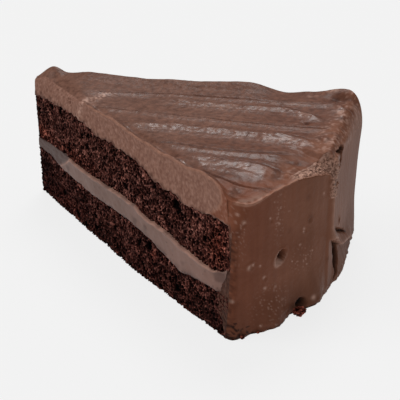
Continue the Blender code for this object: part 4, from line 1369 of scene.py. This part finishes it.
def cut_face(outer, inner, cells, hand):
    """Points across a cut of the frosting, from its skin to its inside."""
    radius = round_over(from_tip(outer))
    if hand < 0:
        outer = outer.copy()
        edge_in, edge_down = round_shift(0 * radius, radius)
        move_in(outer, -edge_in, -edge_down)
    share = np.linspace(0, 1, cells + 1)[None, :]
    edge_reach = from_tip(outer)
    ragged = grains(edge_reach, 0, hand, CUT_BORDER_GRAINS) - CUT_BORDER_LOWER
    inner = inner.copy()
    inner[:, 2] += ragged * (inner[:, 2] > CUT_BORDER_FROM) * fall(edge_reach, *CUT_BORDER_END)
    points = outer[:, None, :] + share[..., None] * (inner - outer)[:, None, :]
    reach = from_tip(points)
    depth = np.hypot(reach - edge_reach[:, None], outer[:, None, 2] - points[..., 2])
    lip = CUT_LIP_STAND * bump(depth, *CUT_LIP) * between(reach, *LIP_SPAN)
    proud = CUT_STAND * rise(share, 0.5, 1.0) * fall(reach, *CUT_STAND_END)
    out = (cut_relief(reach, points[..., 2], hand) + lip + proud) * rise(share, 0, CUT_EDGE_SHARE)
    push_out(points, out, hand)
    if hand < 0:
        inwards, down = round_shift(-depth, radius[:, None] + 0 * depth)
        move_in(points, inwards, down)
    return points


def grid_faces(numbers):
    """Four-sided faces of a grid of point numbers."""
    corners = [numbers[:-1, :-1], numbers[1:, :-1], numbers[1:, 1:], numbers[:-1, 1:]]
    return np.stack(corners, axis=-1).reshape(-1, 4).tolist()


def fan_faces(fine, coarse):
    """Faces that join a row of many points to a row of fewer, which starts and ends with it."""
    faces = []
    step = 0
    for number in range(len(fine) - 1):
        ahead = (number + 1) / (len(fine) - 1) * (len(coarse) - 1)
        faces.append([int(fine[number]), int(fine[number + 1]), int(coarse[step])])
        if ahead >= step + 0.5 and step < len(coarse) - 1:
            faces.append([int(fine[number + 1]), int(coarse[step + 1]), int(coarse[step])])
            step += 1
    return faces


def turn_outwards(mesh):
    """Turns a closed mesh's faces to point out."""
    body = bmesh.new()
    body.from_mesh(mesh)
    bmesh.ops.recalc_face_normals(body, faces=body.faces)
    body.to_mesh(mesh)
    body.free()


def new_piece(name, points, faces, marks):
    """A smooth mesh object from points in millimetres, with the marks that colour it."""
    mesh = bpy.data.meshes.new(name)
    mesh.from_pydata((np.asarray(points) * METRES).tolist(), [], faces)
    for key, amounts in marks.items():
        layer = mesh.attributes.new(key, "FLOAT", "POINT")
        layer.data.foreach_set("value", np.asarray(amounts, dtype=np.float32))
    mesh.update()
    turn_outwards(mesh)
    mesh.shade_smooth()
    piece = bpy.data.objects.new(name, mesh)
    bpy.context.scene.collection.objects.link(piece)
    return piece


def number_grids(blocks):
    """The points of several grids in one row, and a grid of point numbers for each."""
    numbers = []
    count = 0
    for block in blocks:
        rows, columns = block.shape[:2]
        numbers.append(np.arange(rows * columns).reshape(rows, columns) + count)
        count += rows * columns
    return np.concatenate([block.reshape(-1, 3) for block in blocks]), numbers


def coat_faces(skin, inside, near_middle, far_middle):
    """Faces of the closed coat, from the point numbers of its skin, its inside and its two cuts."""
    near = np.concatenate([skin[:, :1], near_middle, inside[:, :1]], axis=1)
    far = np.concatenate([skin[:, -1:], far_middle, inside[:, -1:]], axis=1)
    faces = grid_faces(skin) + grid_faces(inside) + grid_faces(near) + grid_faces(far)
    for row in (0, -1):
        coarse = np.concatenate([near[row, 1:-1], inside[row], far[row, 1:-1][::-1]])
        faces += fan_faces(skin[row], coarse)
    return faces


def smear_mark(points):
    """1 where dark crumbs were dragged into the cut frosting beside the sponge, and in darker patches at the
    rim end.
    """
    x = points[:, 0] - TIP[0]
    y = points[:, 1] - TIP[1]
    height = points[:, 2]
    reach = np.hypot(x, y)
    above = height - frosting_underside(reach, np.sign(y))
    uneven = grains(x, y, height, SMEAR_GRAINS)
    edge = rise(uneven - SMEAR_FALL * above, *SMEAR_SPAN) * (above < SMEAR_REACH)
    wall = rise(reach, *WALL_SMEAR_REACH) * (height < WALL_SMEAR_TOP) * rise(uneven, *WALL_SMEAR_SPAN)
    strength = WALL_SMEAR_STRENGTH + WALL_SMEAR_LOW * fall(height, *WALL_SMEAR_FOOT)
    return np.maximum(SMEAR_STRENGTH * edge, strength * wall)


def cut_pale_and_highlight_mark(points, cut):
    """Painted highlight on the wrinkle of the near cut, and pale grains of the cuts."""
    x = points[:, 0] - TIP[0]
    y = points[:, 1] - TIP[1]
    height = points[:, 2]
    gap = line_gap(WRINKLE, np.hypot(x, y), height)[0]
    wrinkle = (y < 0) * bump(gap, 0, WRINKLE_WIDTH) * patches(x, y, height, *WRINKLE_PATCHES)
    specks = rise(grains(x, y, height, CUT_SPECK_GRAINS), *CUT_SPECKS)
    return np.maximum(wrinkle, CUT_SPECK_STRENGTH * cut * (height > CUT_BORDER_FROM) * specks)


def near_cut_marks(points):
    """Marks of the near cut: painted highlights on its lip and where its pale band ends, the frosting of the
    rim past that band, and dark crumbs.
    """
    reach = from_tip(points)
    height = points[..., 2]
    past = reach - profile(BAND_END, height)
    thick = LOW_WALL_SHARE + (1 - LOW_WALL_SHARE) * rise(height, *LOW_WALL_TOP)
    wall = thick * rise(past + grains(reach, height, 0, BAND_GRAINS), *BAND_SPAN)
    column = np.arange(points.shape[1])[None, :] + 1
    lip = bump(column, *LIP_COLUMNS) * between(reach, *LIP_SPAN)
    lip = CUT_LIP_LIGHT * lip * np.clip(EDGE_LIGHT + grains(reach, 0, 0, EDGE_GRAINS), FAINTEST, 1)
    crumbs = rise(grains(reach, height, 0, CRUMB_GRAINS), *NEAR_CRUMBS) * rise(reach, *NEAR_CRUMB_REACH)
    return {
        "wall": wall,
        "cut": 1 - wall,
        "edge": np.maximum(lip, BAND_LIGHT * bump(past, 0, BAND_LIGHT_WIDTH)),
        "hollow": NEAR_CRUMB_DARKNESS * crumbs * fall(height, *CORNER_CRUMB_TOP),
    }


def make_frosting():
    """The whole coat of frosting as one closed mesh."""
    skin, skin_marks = frosting_skin(skin_columns())
    inside = frosting_inside(len(skin), np.linspace(-1, 1, INSIDE_COLUMNS + 1))
    near = cut_face(skin[:, 0], inside[:, 0], NEAR_CUT_CELLS, -1)
    far = cut_face(skin[:, -1], inside[:, -1], FAR_CUT_CELLS, 1)
    inside[:, 0] = near[:, -1]
    inside[:, -1] = far[:, -1]
    points, grids = number_grids([skin, inside, near[:, 1:-1], far[:, 1:-1]])

    marks = {}
    for key, mark in skin_marks.items():
        marks[key] = np.concatenate([mark.ravel(), np.zeros(len(points) - mark.size)])
    cut = np.where(np.arange(len(points)) < grids[0].size, 0.0, 1.0)
    marks["cut"] = cut.copy()
    marks["smear_and_shade"] = smear_mark(points) * cut
    marks["pale_and_highlight"] = np.maximum(marks["pale_and_highlight"], cut_pale_and_highlight_mark(points, cut))
    for key, mark in near_cut_marks(near[:, 1:-1]).items():
        marks[key][grids[2]] = mark
    return new_piece("frosting_coat", points, coat_faces(*grids), marks)


def shell_faces(shape):
    """Numbers of the points on the outside of a box of points, and its faces."""
    numbers = np.arange(math.prod(shape)).reshape(shape)
    sides = (numbers[0], numbers[-1], numbers[:, 0], numbers[:, -1], numbers[:, :, 0], numbers[:, :, -1])
    faces = np.concatenate([np.array(grid_faces(side)) for side in sides])
    used, compact = np.unique(faces, return_inverse=True)
    return used, compact.reshape(faces.shape).tolist()


def bent_box(bottom_at, top_at, cells, near_overlap):
    """The outside of a box bent to the wedge.

    Gives its points and faces, and each point's distance from the tip, side and share of the height.
    """
    along, across, up = cells
    side = np.linspace(-1, 1, across + 1)
    share = np.linspace(0, 1, along + 1)
    lift = np.linspace(0, 1, up + 1)
    rim = core_radius(turn_of(side), np.full_like(side, CORE_LEVEL)) + CORE_OVERLAP
    rim[0] += near_overlap
    reach = (TIP_BLUNTNESS + share[:, None] * (rim[None, :] - TIP_BLUNTNESS))[:, :, None] + 0 * lift
    side = side[None, :, None] + 0 * reach
    lift = lift + 0 * reach
    low = bottom_at(reach, side)
    height = low + lift * (top_at(reach, side) - low)
    used, faces = shell_faces(reach.shape)
    points = place(reach, side, height).reshape(-1, 3)[used]
    return points, faces, reach.ravel()[used], side.ravel()[used], lift.ravel()[used]


def cell_walls(points, size, seed):
    """How far points lie from the walls between random cells, and a random value for each cell."""
    walls = np.empty(len(points))
    chance = np.empty(len(points))
    for number, point in enumerate((points / size + seed).tolist()):
        gaps, centres = noise.voronoi(point)
        walls[number] = gaps[1] - gaps[0]
        chance[number] = noise.cell(centres[0] * CELL_STEP)
    return walls, chance


def crumb_relief(points):
    """Open crumb: thin walls round bubbles of several sizes, with grains on them."""
    wavy = [grain(*points.T, CRUMB_WAVE_SIZE, seed) for seed in CRUMB_WAVE_SEEDS]
    bent = points + CRUMB_WAVE * np.stack(wavy, axis=1)
    walls, chance = cell_walls(bent, *SMALL_BUBBLES)
    small = rise(walls, *SMALL_BUBBLE_WALL) * (SMALL_BUBBLE_LEAST + (1 - SMALL_BUBBLE_LEAST) * chance)
    walls, chance = cell_walls(bent, *WIDE_BUBBLES)
    wide = rise(walls, *WIDE_BUBBLE_WALL) * (chance > WIDE_BUBBLE_RARITY)
    return grains_at(points, SPONGE_GRAINS) - SMALL_BUBBLE_DEPTH * small - WIDE_BUBBLE_DEPTH * wide


def make_sponge(name, bottom_at, top_at):
    """A sponge layer whose two cut faces have an open crumb."""
    points, faces, reach, side, _ = bent_box(bottom_at, top_at, SPONGE_CELLS, SPONGE_NEAR_OVERLAP)
    height = points[:, 2].copy()
    edge = np.abs(side) > AT_CUT
    relief = np.zeros(len(points))
    relief[edge] = crumb_relief(points[edge])
    for place_x, place_z, radius in PORES:
        gap = np.hypot(reach - place_x, height - place_z) / radius
        relief -= PORE_DEPTH * fall(gap, *PORE_SIDE) * (side < -AT_CUT)
    near = side < 0
    marks = {
        "crumb": relief,
        "dark": near * oval_marks(reach, height, DARK_CRUMB),
        "warm": near * oval_marks(reach, height, WARM_CRUMB),
    }
    stand = (relief + grains_at(points, SPONGE_WAVE_GRAINS) + SPONGE_STAND) * edge
    push_out(points, stand, np.sign(side))
    return new_piece(name, points, faces, marks)


def make_filling():
    """The cream between the sponges, pressed a little out of both cuts."""
    box = bent_box(filling_bottom, filling_top, FILLING_CELLS, FILLING_NEAR_OVERLAP)
    points, faces, reach, side, lift = box
    hand = np.sign(side)
    edge = np.where(np.abs(side) > AT_CUT, 1.0, 0.0)
    slanted = reach + FILLING_STEP_SLANT * (1 - lift)
    step = rise(slanted, *FILLING_STEP)
    swell = (FILLING_TIP_STAND + FILLING_STAND * step) * fall(reach, *FILLING_STAND_END)
    swell = swell * rise(lift, *FILLING_FOOT) * (1 - FILLING_HEAD_LOSS * rise(lift, *FILLING_HEAD))
    lip = FILLING_LIP_STAND * bump(lift, *FILLING_LIP) * step
    drag = grains(reach, lift * FILLING_DRAG_STRETCH, hand, FILLING_GRAINS)
    out = swell + lip + drag - FILLING_END_DEPTH * rise(reach, *FILLING_END)
    push_out(points, out * edge, hand)
    low = grains(reach, 0, hand, FILLING_LOW_GRAINS) * fall(lift, *FILLING_LOW)
    high = grains(reach, 0, hand, FILLING_HIGH_GRAINS) * rise(lift, *FILLING_HIGH)
    points[:, 2] += edge * (low + high)
    marks = {
        "edge_highlight": edge * filling_highlight(reach, lift, hand, slanted) * step ** 0.5,
        "smear_and_shade": filling_shade(points, reach, lift, hand, edge, step),
    }
    return new_piece("filling_cream", points, faces, marks)


def filling_highlight(reach, lift, hand, slanted):
    """Painted highlight along the upper edge of the filling, and down its step."""
    light = np.maximum(rise(lift, *FILLING_LIGHT), bump(slanted, *FILLING_STEP_LIGHT))
    uneven = FILLING_LIGHT_LEVEL + grains(reach, lift, hand, FILLING_LIGHT_GRAINS)
    return light * np.clip(uneven, FAINTEST, 1)


def filling_shade(points, reach, lift, hand, edge, step):
    """Painted shade on the filling's recessed tip and low down, darker patches at the rim, and dark crumbs.
    """
    uneven = grains_at(points, FILLING_PATCH_GRAINS)
    drawn = FILLING_PATCH_SHADE * rise(uneven - FILLING_PATCH_FALL * lift, *FILLING_DRAWN_SPAN)
    rim = FILLING_RIM_SHADE * rise(reach, *FILLING_RIM) * rise(uneven, *FILLING_RIM_SPAN)
    border = fall(np.minimum(lift, FILLING_BORDER_TOP - lift), *FILLING_BORDER)
    crumbs = grains(reach + FILLING_HAND_SHIFT * hand, points[:, 2], 0, CRUMB_GRAINS)
    crumbs = FILLING_CRUMB_SHADE * rise(crumbs + FILLING_BORDER_CRUMBS * border, *FILLING_CRUMBS)
    low = rise(reach, *FILLING_LOW_SHADE) * fall(lift, *FILLING_LOW_SHADE_LIFT)
    low = low * rise(uneven, *FILLING_LOW_SHADE_SPAN)
    return strongest(1 - step, drawn, rim, edge * crumbs, edge * low)


def make_crumb(name, place_round, out, size):
    """A loose crumb on the floor beside the rim."""
    along = np.linspace(0, 2 * math.pi, CRUMB_CELLS * 2 + 1)[:-1]
    up = np.linspace(0, math.pi, CRUMB_CELLS + 1)[1:-1]
    flat = (np.outer(np.sin(up), np.cos(along)), np.outer(np.sin(up), np.sin(along)))
    ring = np.stack([*flat, np.outer(np.cos(up), np.ones_like(along))], axis=-1).reshape(-1, 3)
    ball = np.concatenate([ring, [(0, 0, 1), (0, 0, -1)]])
    lumps = sum(strength * grain(*ball.T, scale, place_round) for strength, scale in CRUMB_LUMPS)
    ball = ball * (1 + lumps[:, None]) * np.array(size)
    turn = place_round / CAKE_RADIUS
    reach = smooth_rim(turn) + out
    x = TIP[0] + (reach + ball[:, 1]) * math.cos(turn) - ball[:, 0] * math.sin(turn)
    y = TIP[1] + (reach + ball[:, 1]) * math.sin(turn) + ball[:, 0] * math.cos(turn)
    z = ball[:, 2] - ball[:, 2].min()
    grid = np.arange(len(ring)).reshape(len(up), len(along))
    grid = np.concatenate([grid, grid[:, :1]], axis=1)
    faces = grid_faces(grid)
    for first, second in zip(grid[0, :-1].tolist(), grid[0, 1:].tolist()):
        faces.append([len(ring), first, second])
    for first, second in zip(grid[-1, :-1].tolist(), grid[-1, 1:].tolist()):
        faces.append([len(ring) + 1, second, first])
    marks = {"crumb": lumps + CRUMB_LIGHT, "warm": CRUMB_WARMTH + 0 * lumps}
    return new_piece(name, np.stack([x, y, z], axis=1), faces, marks)


def new_material(name):
    """A new material, its node tree and its shader."""
    material = bpy.data.materials.new(name)
    material.use_nodes = True
    return material, material.node_tree, material.node_tree.nodes["Principled BSDF"]


def set_inputs(shader, values):
    for name, value in values.items():
        shader.inputs[name].default_value = value


def node(tree, kind, **settings):
    """Adds a node and sets its properties and inputs."""
    made = tree.nodes.new(kind)
    for key, value in settings.items():
        if key in made.inputs:
            made.inputs[key].default_value = value
        else:
            setattr(made, key, value)
    return made


def connect(tree, value, socket):
    """Links a value to a socket, or sets it there if it is a number or a colour."""
    if isinstance(value, bpy.types.NodeSocket):
        tree.links.new(value, socket)
    elif isinstance(value, tuple):
        socket.default_value = (*value, 1.0)
    else:
        socket.default_value = value


def object_place(tree):
    return tree.nodes.new("ShaderNodeTexCoord").outputs["Object"]


def attribute(tree, name):
    return node(tree, "ShaderNodeAttribute", attribute_name=name).outputs["Fac"]


def noise_node(tree, coordinates, scale, detail, roughness=0.5):
    made = node(tree, "ShaderNodeTexNoise", Scale=scale, Detail=detail, Roughness=roughness)
    tree.links.new(coordinates, made.inputs["Vector"])
    return made.outputs["Fac"]


def streak_noise(tree, where):
    """Noise drawn out into upright streaks."""
    drawn = node(tree, "ShaderNodeMapping", Scale=STREAK_STRETCH)
    tree.links.new(where, drawn.inputs["Vector"])
    return noise_node(tree, drawn.outputs[0], *STREAK_NOISE)


def ramp(tree, value, stops):
    """Colours by a value: each stop is a place from 0 to 1 and a colour."""
    made = tree.nodes.new("ShaderNodeValToRGB")
    elements = made.color_ramp.elements
    while len(elements) < len(stops):
        elements.new(0.5)
    for element, (position, colour) in zip(elements, stops):
        element.position = position
        element.color = (*colour, 1.0)
    tree.links.new(value, made.inputs["Fac"])
    return made.outputs["Color"]


def map_range(tree, value, span, to_span=(0.0, 1.0)):
    made = tree.nodes.new("ShaderNodeMapRange")
    for name, amount in zip(("From Min", "From Max", "To Min", "To Max"), (*span, *to_span)):
        made.inputs[name].default_value = amount
    tree.links.new(value, made.inputs["Value"])
    return made.outputs["Result"]


def drift(tree, where, axis, span, first, last):
    """A tint that changes along an axis, from the first to the last over a span."""
    parts = tree.nodes.new("ShaderNodeSeparateXYZ")
    tree.links.new(where, parts.inputs[0])
    share = map_range(tree, parts.outputs[axis], [end * METRES for end in span])
    return ramp(tree, share, ((0.0, first), (1.0, last)))


def mix(tree, share, first, second, blend="MIX"):
    """A colour between two others, or multiplied by the second, by a share."""
    made = node(tree, "ShaderNodeMix", data_type="RGBA", blend_type=blend)
    connect(tree, share, made.inputs[0])
    connect(tree, first, made.inputs[6])
    connect(tree, second, made.inputs[7])
    return made.outputs[2]


def mix_numbers(tree, share, first, second):
    """A number between two others, by a share."""
    made = tree.nodes.new("ShaderNodeMix")
    connect(tree, share, made.inputs[0])
    connect(tree, first, made.inputs[2])
    connect(tree, second, made.inputs[3])
    return made.outputs[0]


def tinted(tree, colour, *tints):
    """A colour multiplied by others, one after another."""
    for tint in tints:
        colour = mix(tree, 1.0, colour, tint, "MULTIPLY")
    return colour


def marked(tree, colour, tones):
    """A colour with each mark laid over it, which multiplies it by a tone or covers it."""
    for mark, blend, tone in tones:
        colour = mix(tree, attribute(tree, mark), colour, tone, blend)
    return colour


def add_bump(tree, shader, height, strength):
    made = node(tree, "ShaderNodeBump", Strength=strength, Distance=BUMP_DEPTH * METRES)
    tree.links.new(height, made.inputs["Height"])
    tree.links.new(made.outputs["Normal"], shader.inputs["Normal"])
    tree.links.new(made.outputs["Normal"], shader.inputs["Coat Normal"])


def frosting_colour(tree, where, fine):
    """Brown on the smoothed top, redder on the wall, and paler where it was cut or torn."""
    cloud = noise_node(tree, where, *FROSTING_CLOUDS)
    mottled = ramp(tree, fine, FROSTING_MOTTLING)
    smooth = tinted(tree, ramp(tree, cloud, SMOOTH_TONES), drift(tree, where, *RIM_DRIFT), mottled)
    streaks = ramp(tree, streak_noise(tree, where), STREAK_TONES)
    # The wall has painted shade towards its foot and a painted sheen, greyer towards the flat side
    wall = tinted(tree, ramp(tree, cloud, WALL_TONES), streaks,
                  drift(tree, where, *FOOT_SHADE_DRIFT), drift(tree, where, *WALL_SHEEN_DRIFT))
    sliced = ramp(tree, noise_node(tree, where, *CUT_SPECKLE), CUT_TONES)
    ragged = ramp(tree, noise_node(tree, where, *TORN_SPECKLE), TORN_TONES)
    colour = mix(tree, attribute(tree, "wall"), smooth, wall)
    colour = mix(tree, attribute(tree, "cut"), colour, sliced)
    colour = mix(tree, attribute(tree, "torn"), colour, ragged)
    # The marks lay painted shade and painted highlights over the colour, as well as crumbs and pale grains
    return marked(tree, colour, FROSTING_MARKS)


def frosting_material():
    """Spread chocolate frosting: satin where it was smoothed, and duller where it was cut."""
    material, tree, shader = new_material("frosting")
    where = object_place(tree)
    fine = noise_node(tree, where, *FROSTING_SPECKLE)
    tree.links.new(frosting_colour(tree, where, fine), shader.inputs["Base Color"])
    dull = map_range(tree, fine, *FROSTING_ROUGHNESS)
    dull = mix_numbers(tree, attribute(tree, "cut"), dull, CUT_ROUGHNESS)
    dull = mix_numbers(tree, attribute(tree, "flat"), dull, FLAT_SIDE_ROUGHNESS)
    tree.links.new(dull, shader.inputs["Roughness"])
    gloss = mix_numbers(tree, attribute(tree, "wall"), attribute(tree, "gloss"), 0.0)
    gloss = mix_numbers(tree, attribute(tree, "cut"), gloss, 0.0)
    tree.links.new(gloss, shader.inputs["Coat Weight"])
    set_inputs(shader, {"Specular IOR Level": 0.06, "Coat Roughness": 0.28})
    add_bump(tree, shader, noise_node(tree, where, *FROSTING_DIMPLES), FROSTING_BUMP)
    return material


def sponge_material():
    """Dark sponge with painted shade, nearly black in its pores and darker low down; warm brown on its
    crumbs.
    """
    material, tree, shader = new_material("sponge")
    where = object_place(tree)
    fine = noise_node(tree, where, *SPONGE_SPECKLE)
    # Painted shade: the deeper the crumb, the darker it is, nearly black in the pores
    crumb = ramp(tree, map_range(tree, attribute(tree, "crumb"), CRUMB_DEPTHS), CRUMB_TONES)
    speckle = ramp(tree, fine, SPECKLE_TONES)
    # Painted shade: darker towards the foot of the sponge, a little lighter at its top
    height_shade = drift(tree, where, *SPONGE_SHADE_DRIFT)
    patches = ramp(tree, noise_node(tree, where, *SPONGE_CLOUDS), PATCH_TONES)
    colour = marked(tree, tinted(tree, crumb, speckle, height_shade, patches), SPONGE_MARKS)
    tree.links.new(colour, shader.inputs["Base Color"])
    set_inputs(shader, {"Roughness": 0.7, "Specular IOR Level": 0.02})
    add_bump(tree, shader, fine, SPONGE_BUMP)
    return material


def filling_material():
    """Chocolate cream, greyer than the frosting."""
    material, tree, shader = new_material("filling")
    where = object_place(tree)
    cream = ramp(tree, noise_node(tree, where, *FILLING_CLOUDS), FILLING_TONES)
    colour = marked(tree, tinted(tree, cream, drift(tree, where, *FILLING_DRIFT)), FILLING_MARKS)
    tree.links.new(colour, shader.inputs["Base Color"])
    set_inputs(shader, {"Roughness": 0.5, "Specular IOR Level": 0.2})
    add_bump(tree, shader, noise_node(tree, where, *FILLING_SPECKLE), FILLING_BUMP)
    return material


def floor_material():
    """A pale studio floor, lit mostly from within so that shadows on it stay faint."""
    material, _, shader = new_material("floor")
    set_inputs(shader, {
        "Base Color": (0.08, 0.08, 0.08, 1.0),
        "Roughness": 0.9,
        "Specular IOR Level": 0.0,
        "Emission Color": (1.0, 1.0, 1.0, 1.0),
        "Emission Strength": 0.799,
    })
    return material


def make_floor():
    """A plain pale floor, just under the cake."""
    size = FLOOR_SIZE
    points = [(x, y, -FLOOR_GAP) for x, y in ((-size, -size), (size, -size), (size, size), (-size, size))]
    mesh = bpy.data.meshes.new("floor")
    mesh.from_pydata((np.array(points) * METRES).tolist(), [], [(0, 1, 2, 3)])
    mesh.materials.append(floor_material())
    floor = bpy.data.objects.new("floor", mesh)
    bpy.context.scene.collection.objects.link(floor)


def make_light(name, azimuth, elevation, strength, angle):
    """A soft far light, placed by its direction: azimuth 0 comes from -Y, and 90 from +X."""
    light = bpy.data.lights.new(name, "SUN")
    light.energy = strength
    light.angle = math.radians(angle)
    lamp = bpy.data.objects.new(name, light)
    turn = math.radians(azimuth)
    tilt = math.radians(elevation)
    way = Vector((math.sin(turn) * math.cos(tilt), -math.cos(turn) * math.cos(tilt), math.sin(tilt)))
    lamp.rotation_mode = "QUATERNION"
    lamp.rotation_quaternion = way.to_track_quat("Z", "Y")
    lamp.location = way
    bpy.context.scene.collection.objects.link(lamp)


def make_world():
    """Soft light from all round, brighter overhead than at the edge."""
    world = bpy.data.worlds.new("studio")
    world.use_nodes = True
    tree = world.node_tree
    parts = tree.nodes.new("ShaderNodeSeparateXYZ")
    tree.links.new(tree.nodes.new("ShaderNodeTexCoord").outputs["Generated"], parts.inputs[0])
    strength = map_range(tree, parts.outputs["Z"], WORLD_SPAN, WORLD_STRENGTH)
    background = tree.nodes["Background"]
    background.inputs["Color"].default_value = (1.0, 1.0, 1.0, 1.0)
    tree.links.new(strength, background.inputs["Strength"])
    bpy.context.scene.world = world


def make_camera():
    """The camera, at the photograph's viewing angle."""
    data = bpy.data.cameras.new("camera")
    data.lens = CAMERA_LENS
    data.sensor_width = CAMERA_SENSOR
    data.clip_start = CAMERA_NEAREST
    data.clip_end = CAMERA_FARTHEST
    camera = bpy.data.objects.new("camera", data)
    spot = Vector((CAMERA_FROM_TIP[0] + TIP[0], CAMERA_FROM_TIP[1] + TIP[1], CAMERA_FROM_TIP[2])) * METRES
    turn = Matrix.Rotation(CAMERA_AZIMUTH, 4, "Z") @ Matrix.Rotation(math.pi / 2 - CAMERA_PITCH, 4, "X")
    camera.matrix_world = Matrix.Translation(spot) @ turn @ Matrix.Rotation(CAMERA_ROLL, 4, "Z")
    bpy.context.scene.collection.objects.link(camera)
    bpy.context.scene.camera = camera


def finish_piece(piece, material, slot, *nodes):
    """Gives a piece its material and ties it to the frame."""
    piece.data.materials.append(material)
    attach(piece, "root")
    if nodes:
        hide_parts(*nodes)


def main():
    sponge = sponge_material()
    finish_piece(make_frosting(), frosting_material(), "frosting", "frosting")
    upper = make_sponge("sponge_upper_crumb", filling_top, frosting_underside)
    finish_piece(upper, sponge, "sponge", "sponge_upper")
    lower = make_sponge("sponge_lower_crumb", cake_foot, filling_bottom)
    finish_piece(lower, sponge, "sponge", "sponge_lower")
    finish_piece(make_filling(), filling_material(), "filling", "filling")
    for number, (place_round, out, size) in enumerate(LOOSE_CRUMBS):
        crumb = make_crumb("loose_crumb_%d" % (number + 1), place_round, out, size)
        finish_piece(crumb, sponge, "sponge")
    make_floor()
    make_light(*KEY_LIGHT)
    make_light(*BACK_LIGHT)
    make_world()
    make_camera()
    bpy.context.scene.view_settings.view_transform = "Standard"


main()
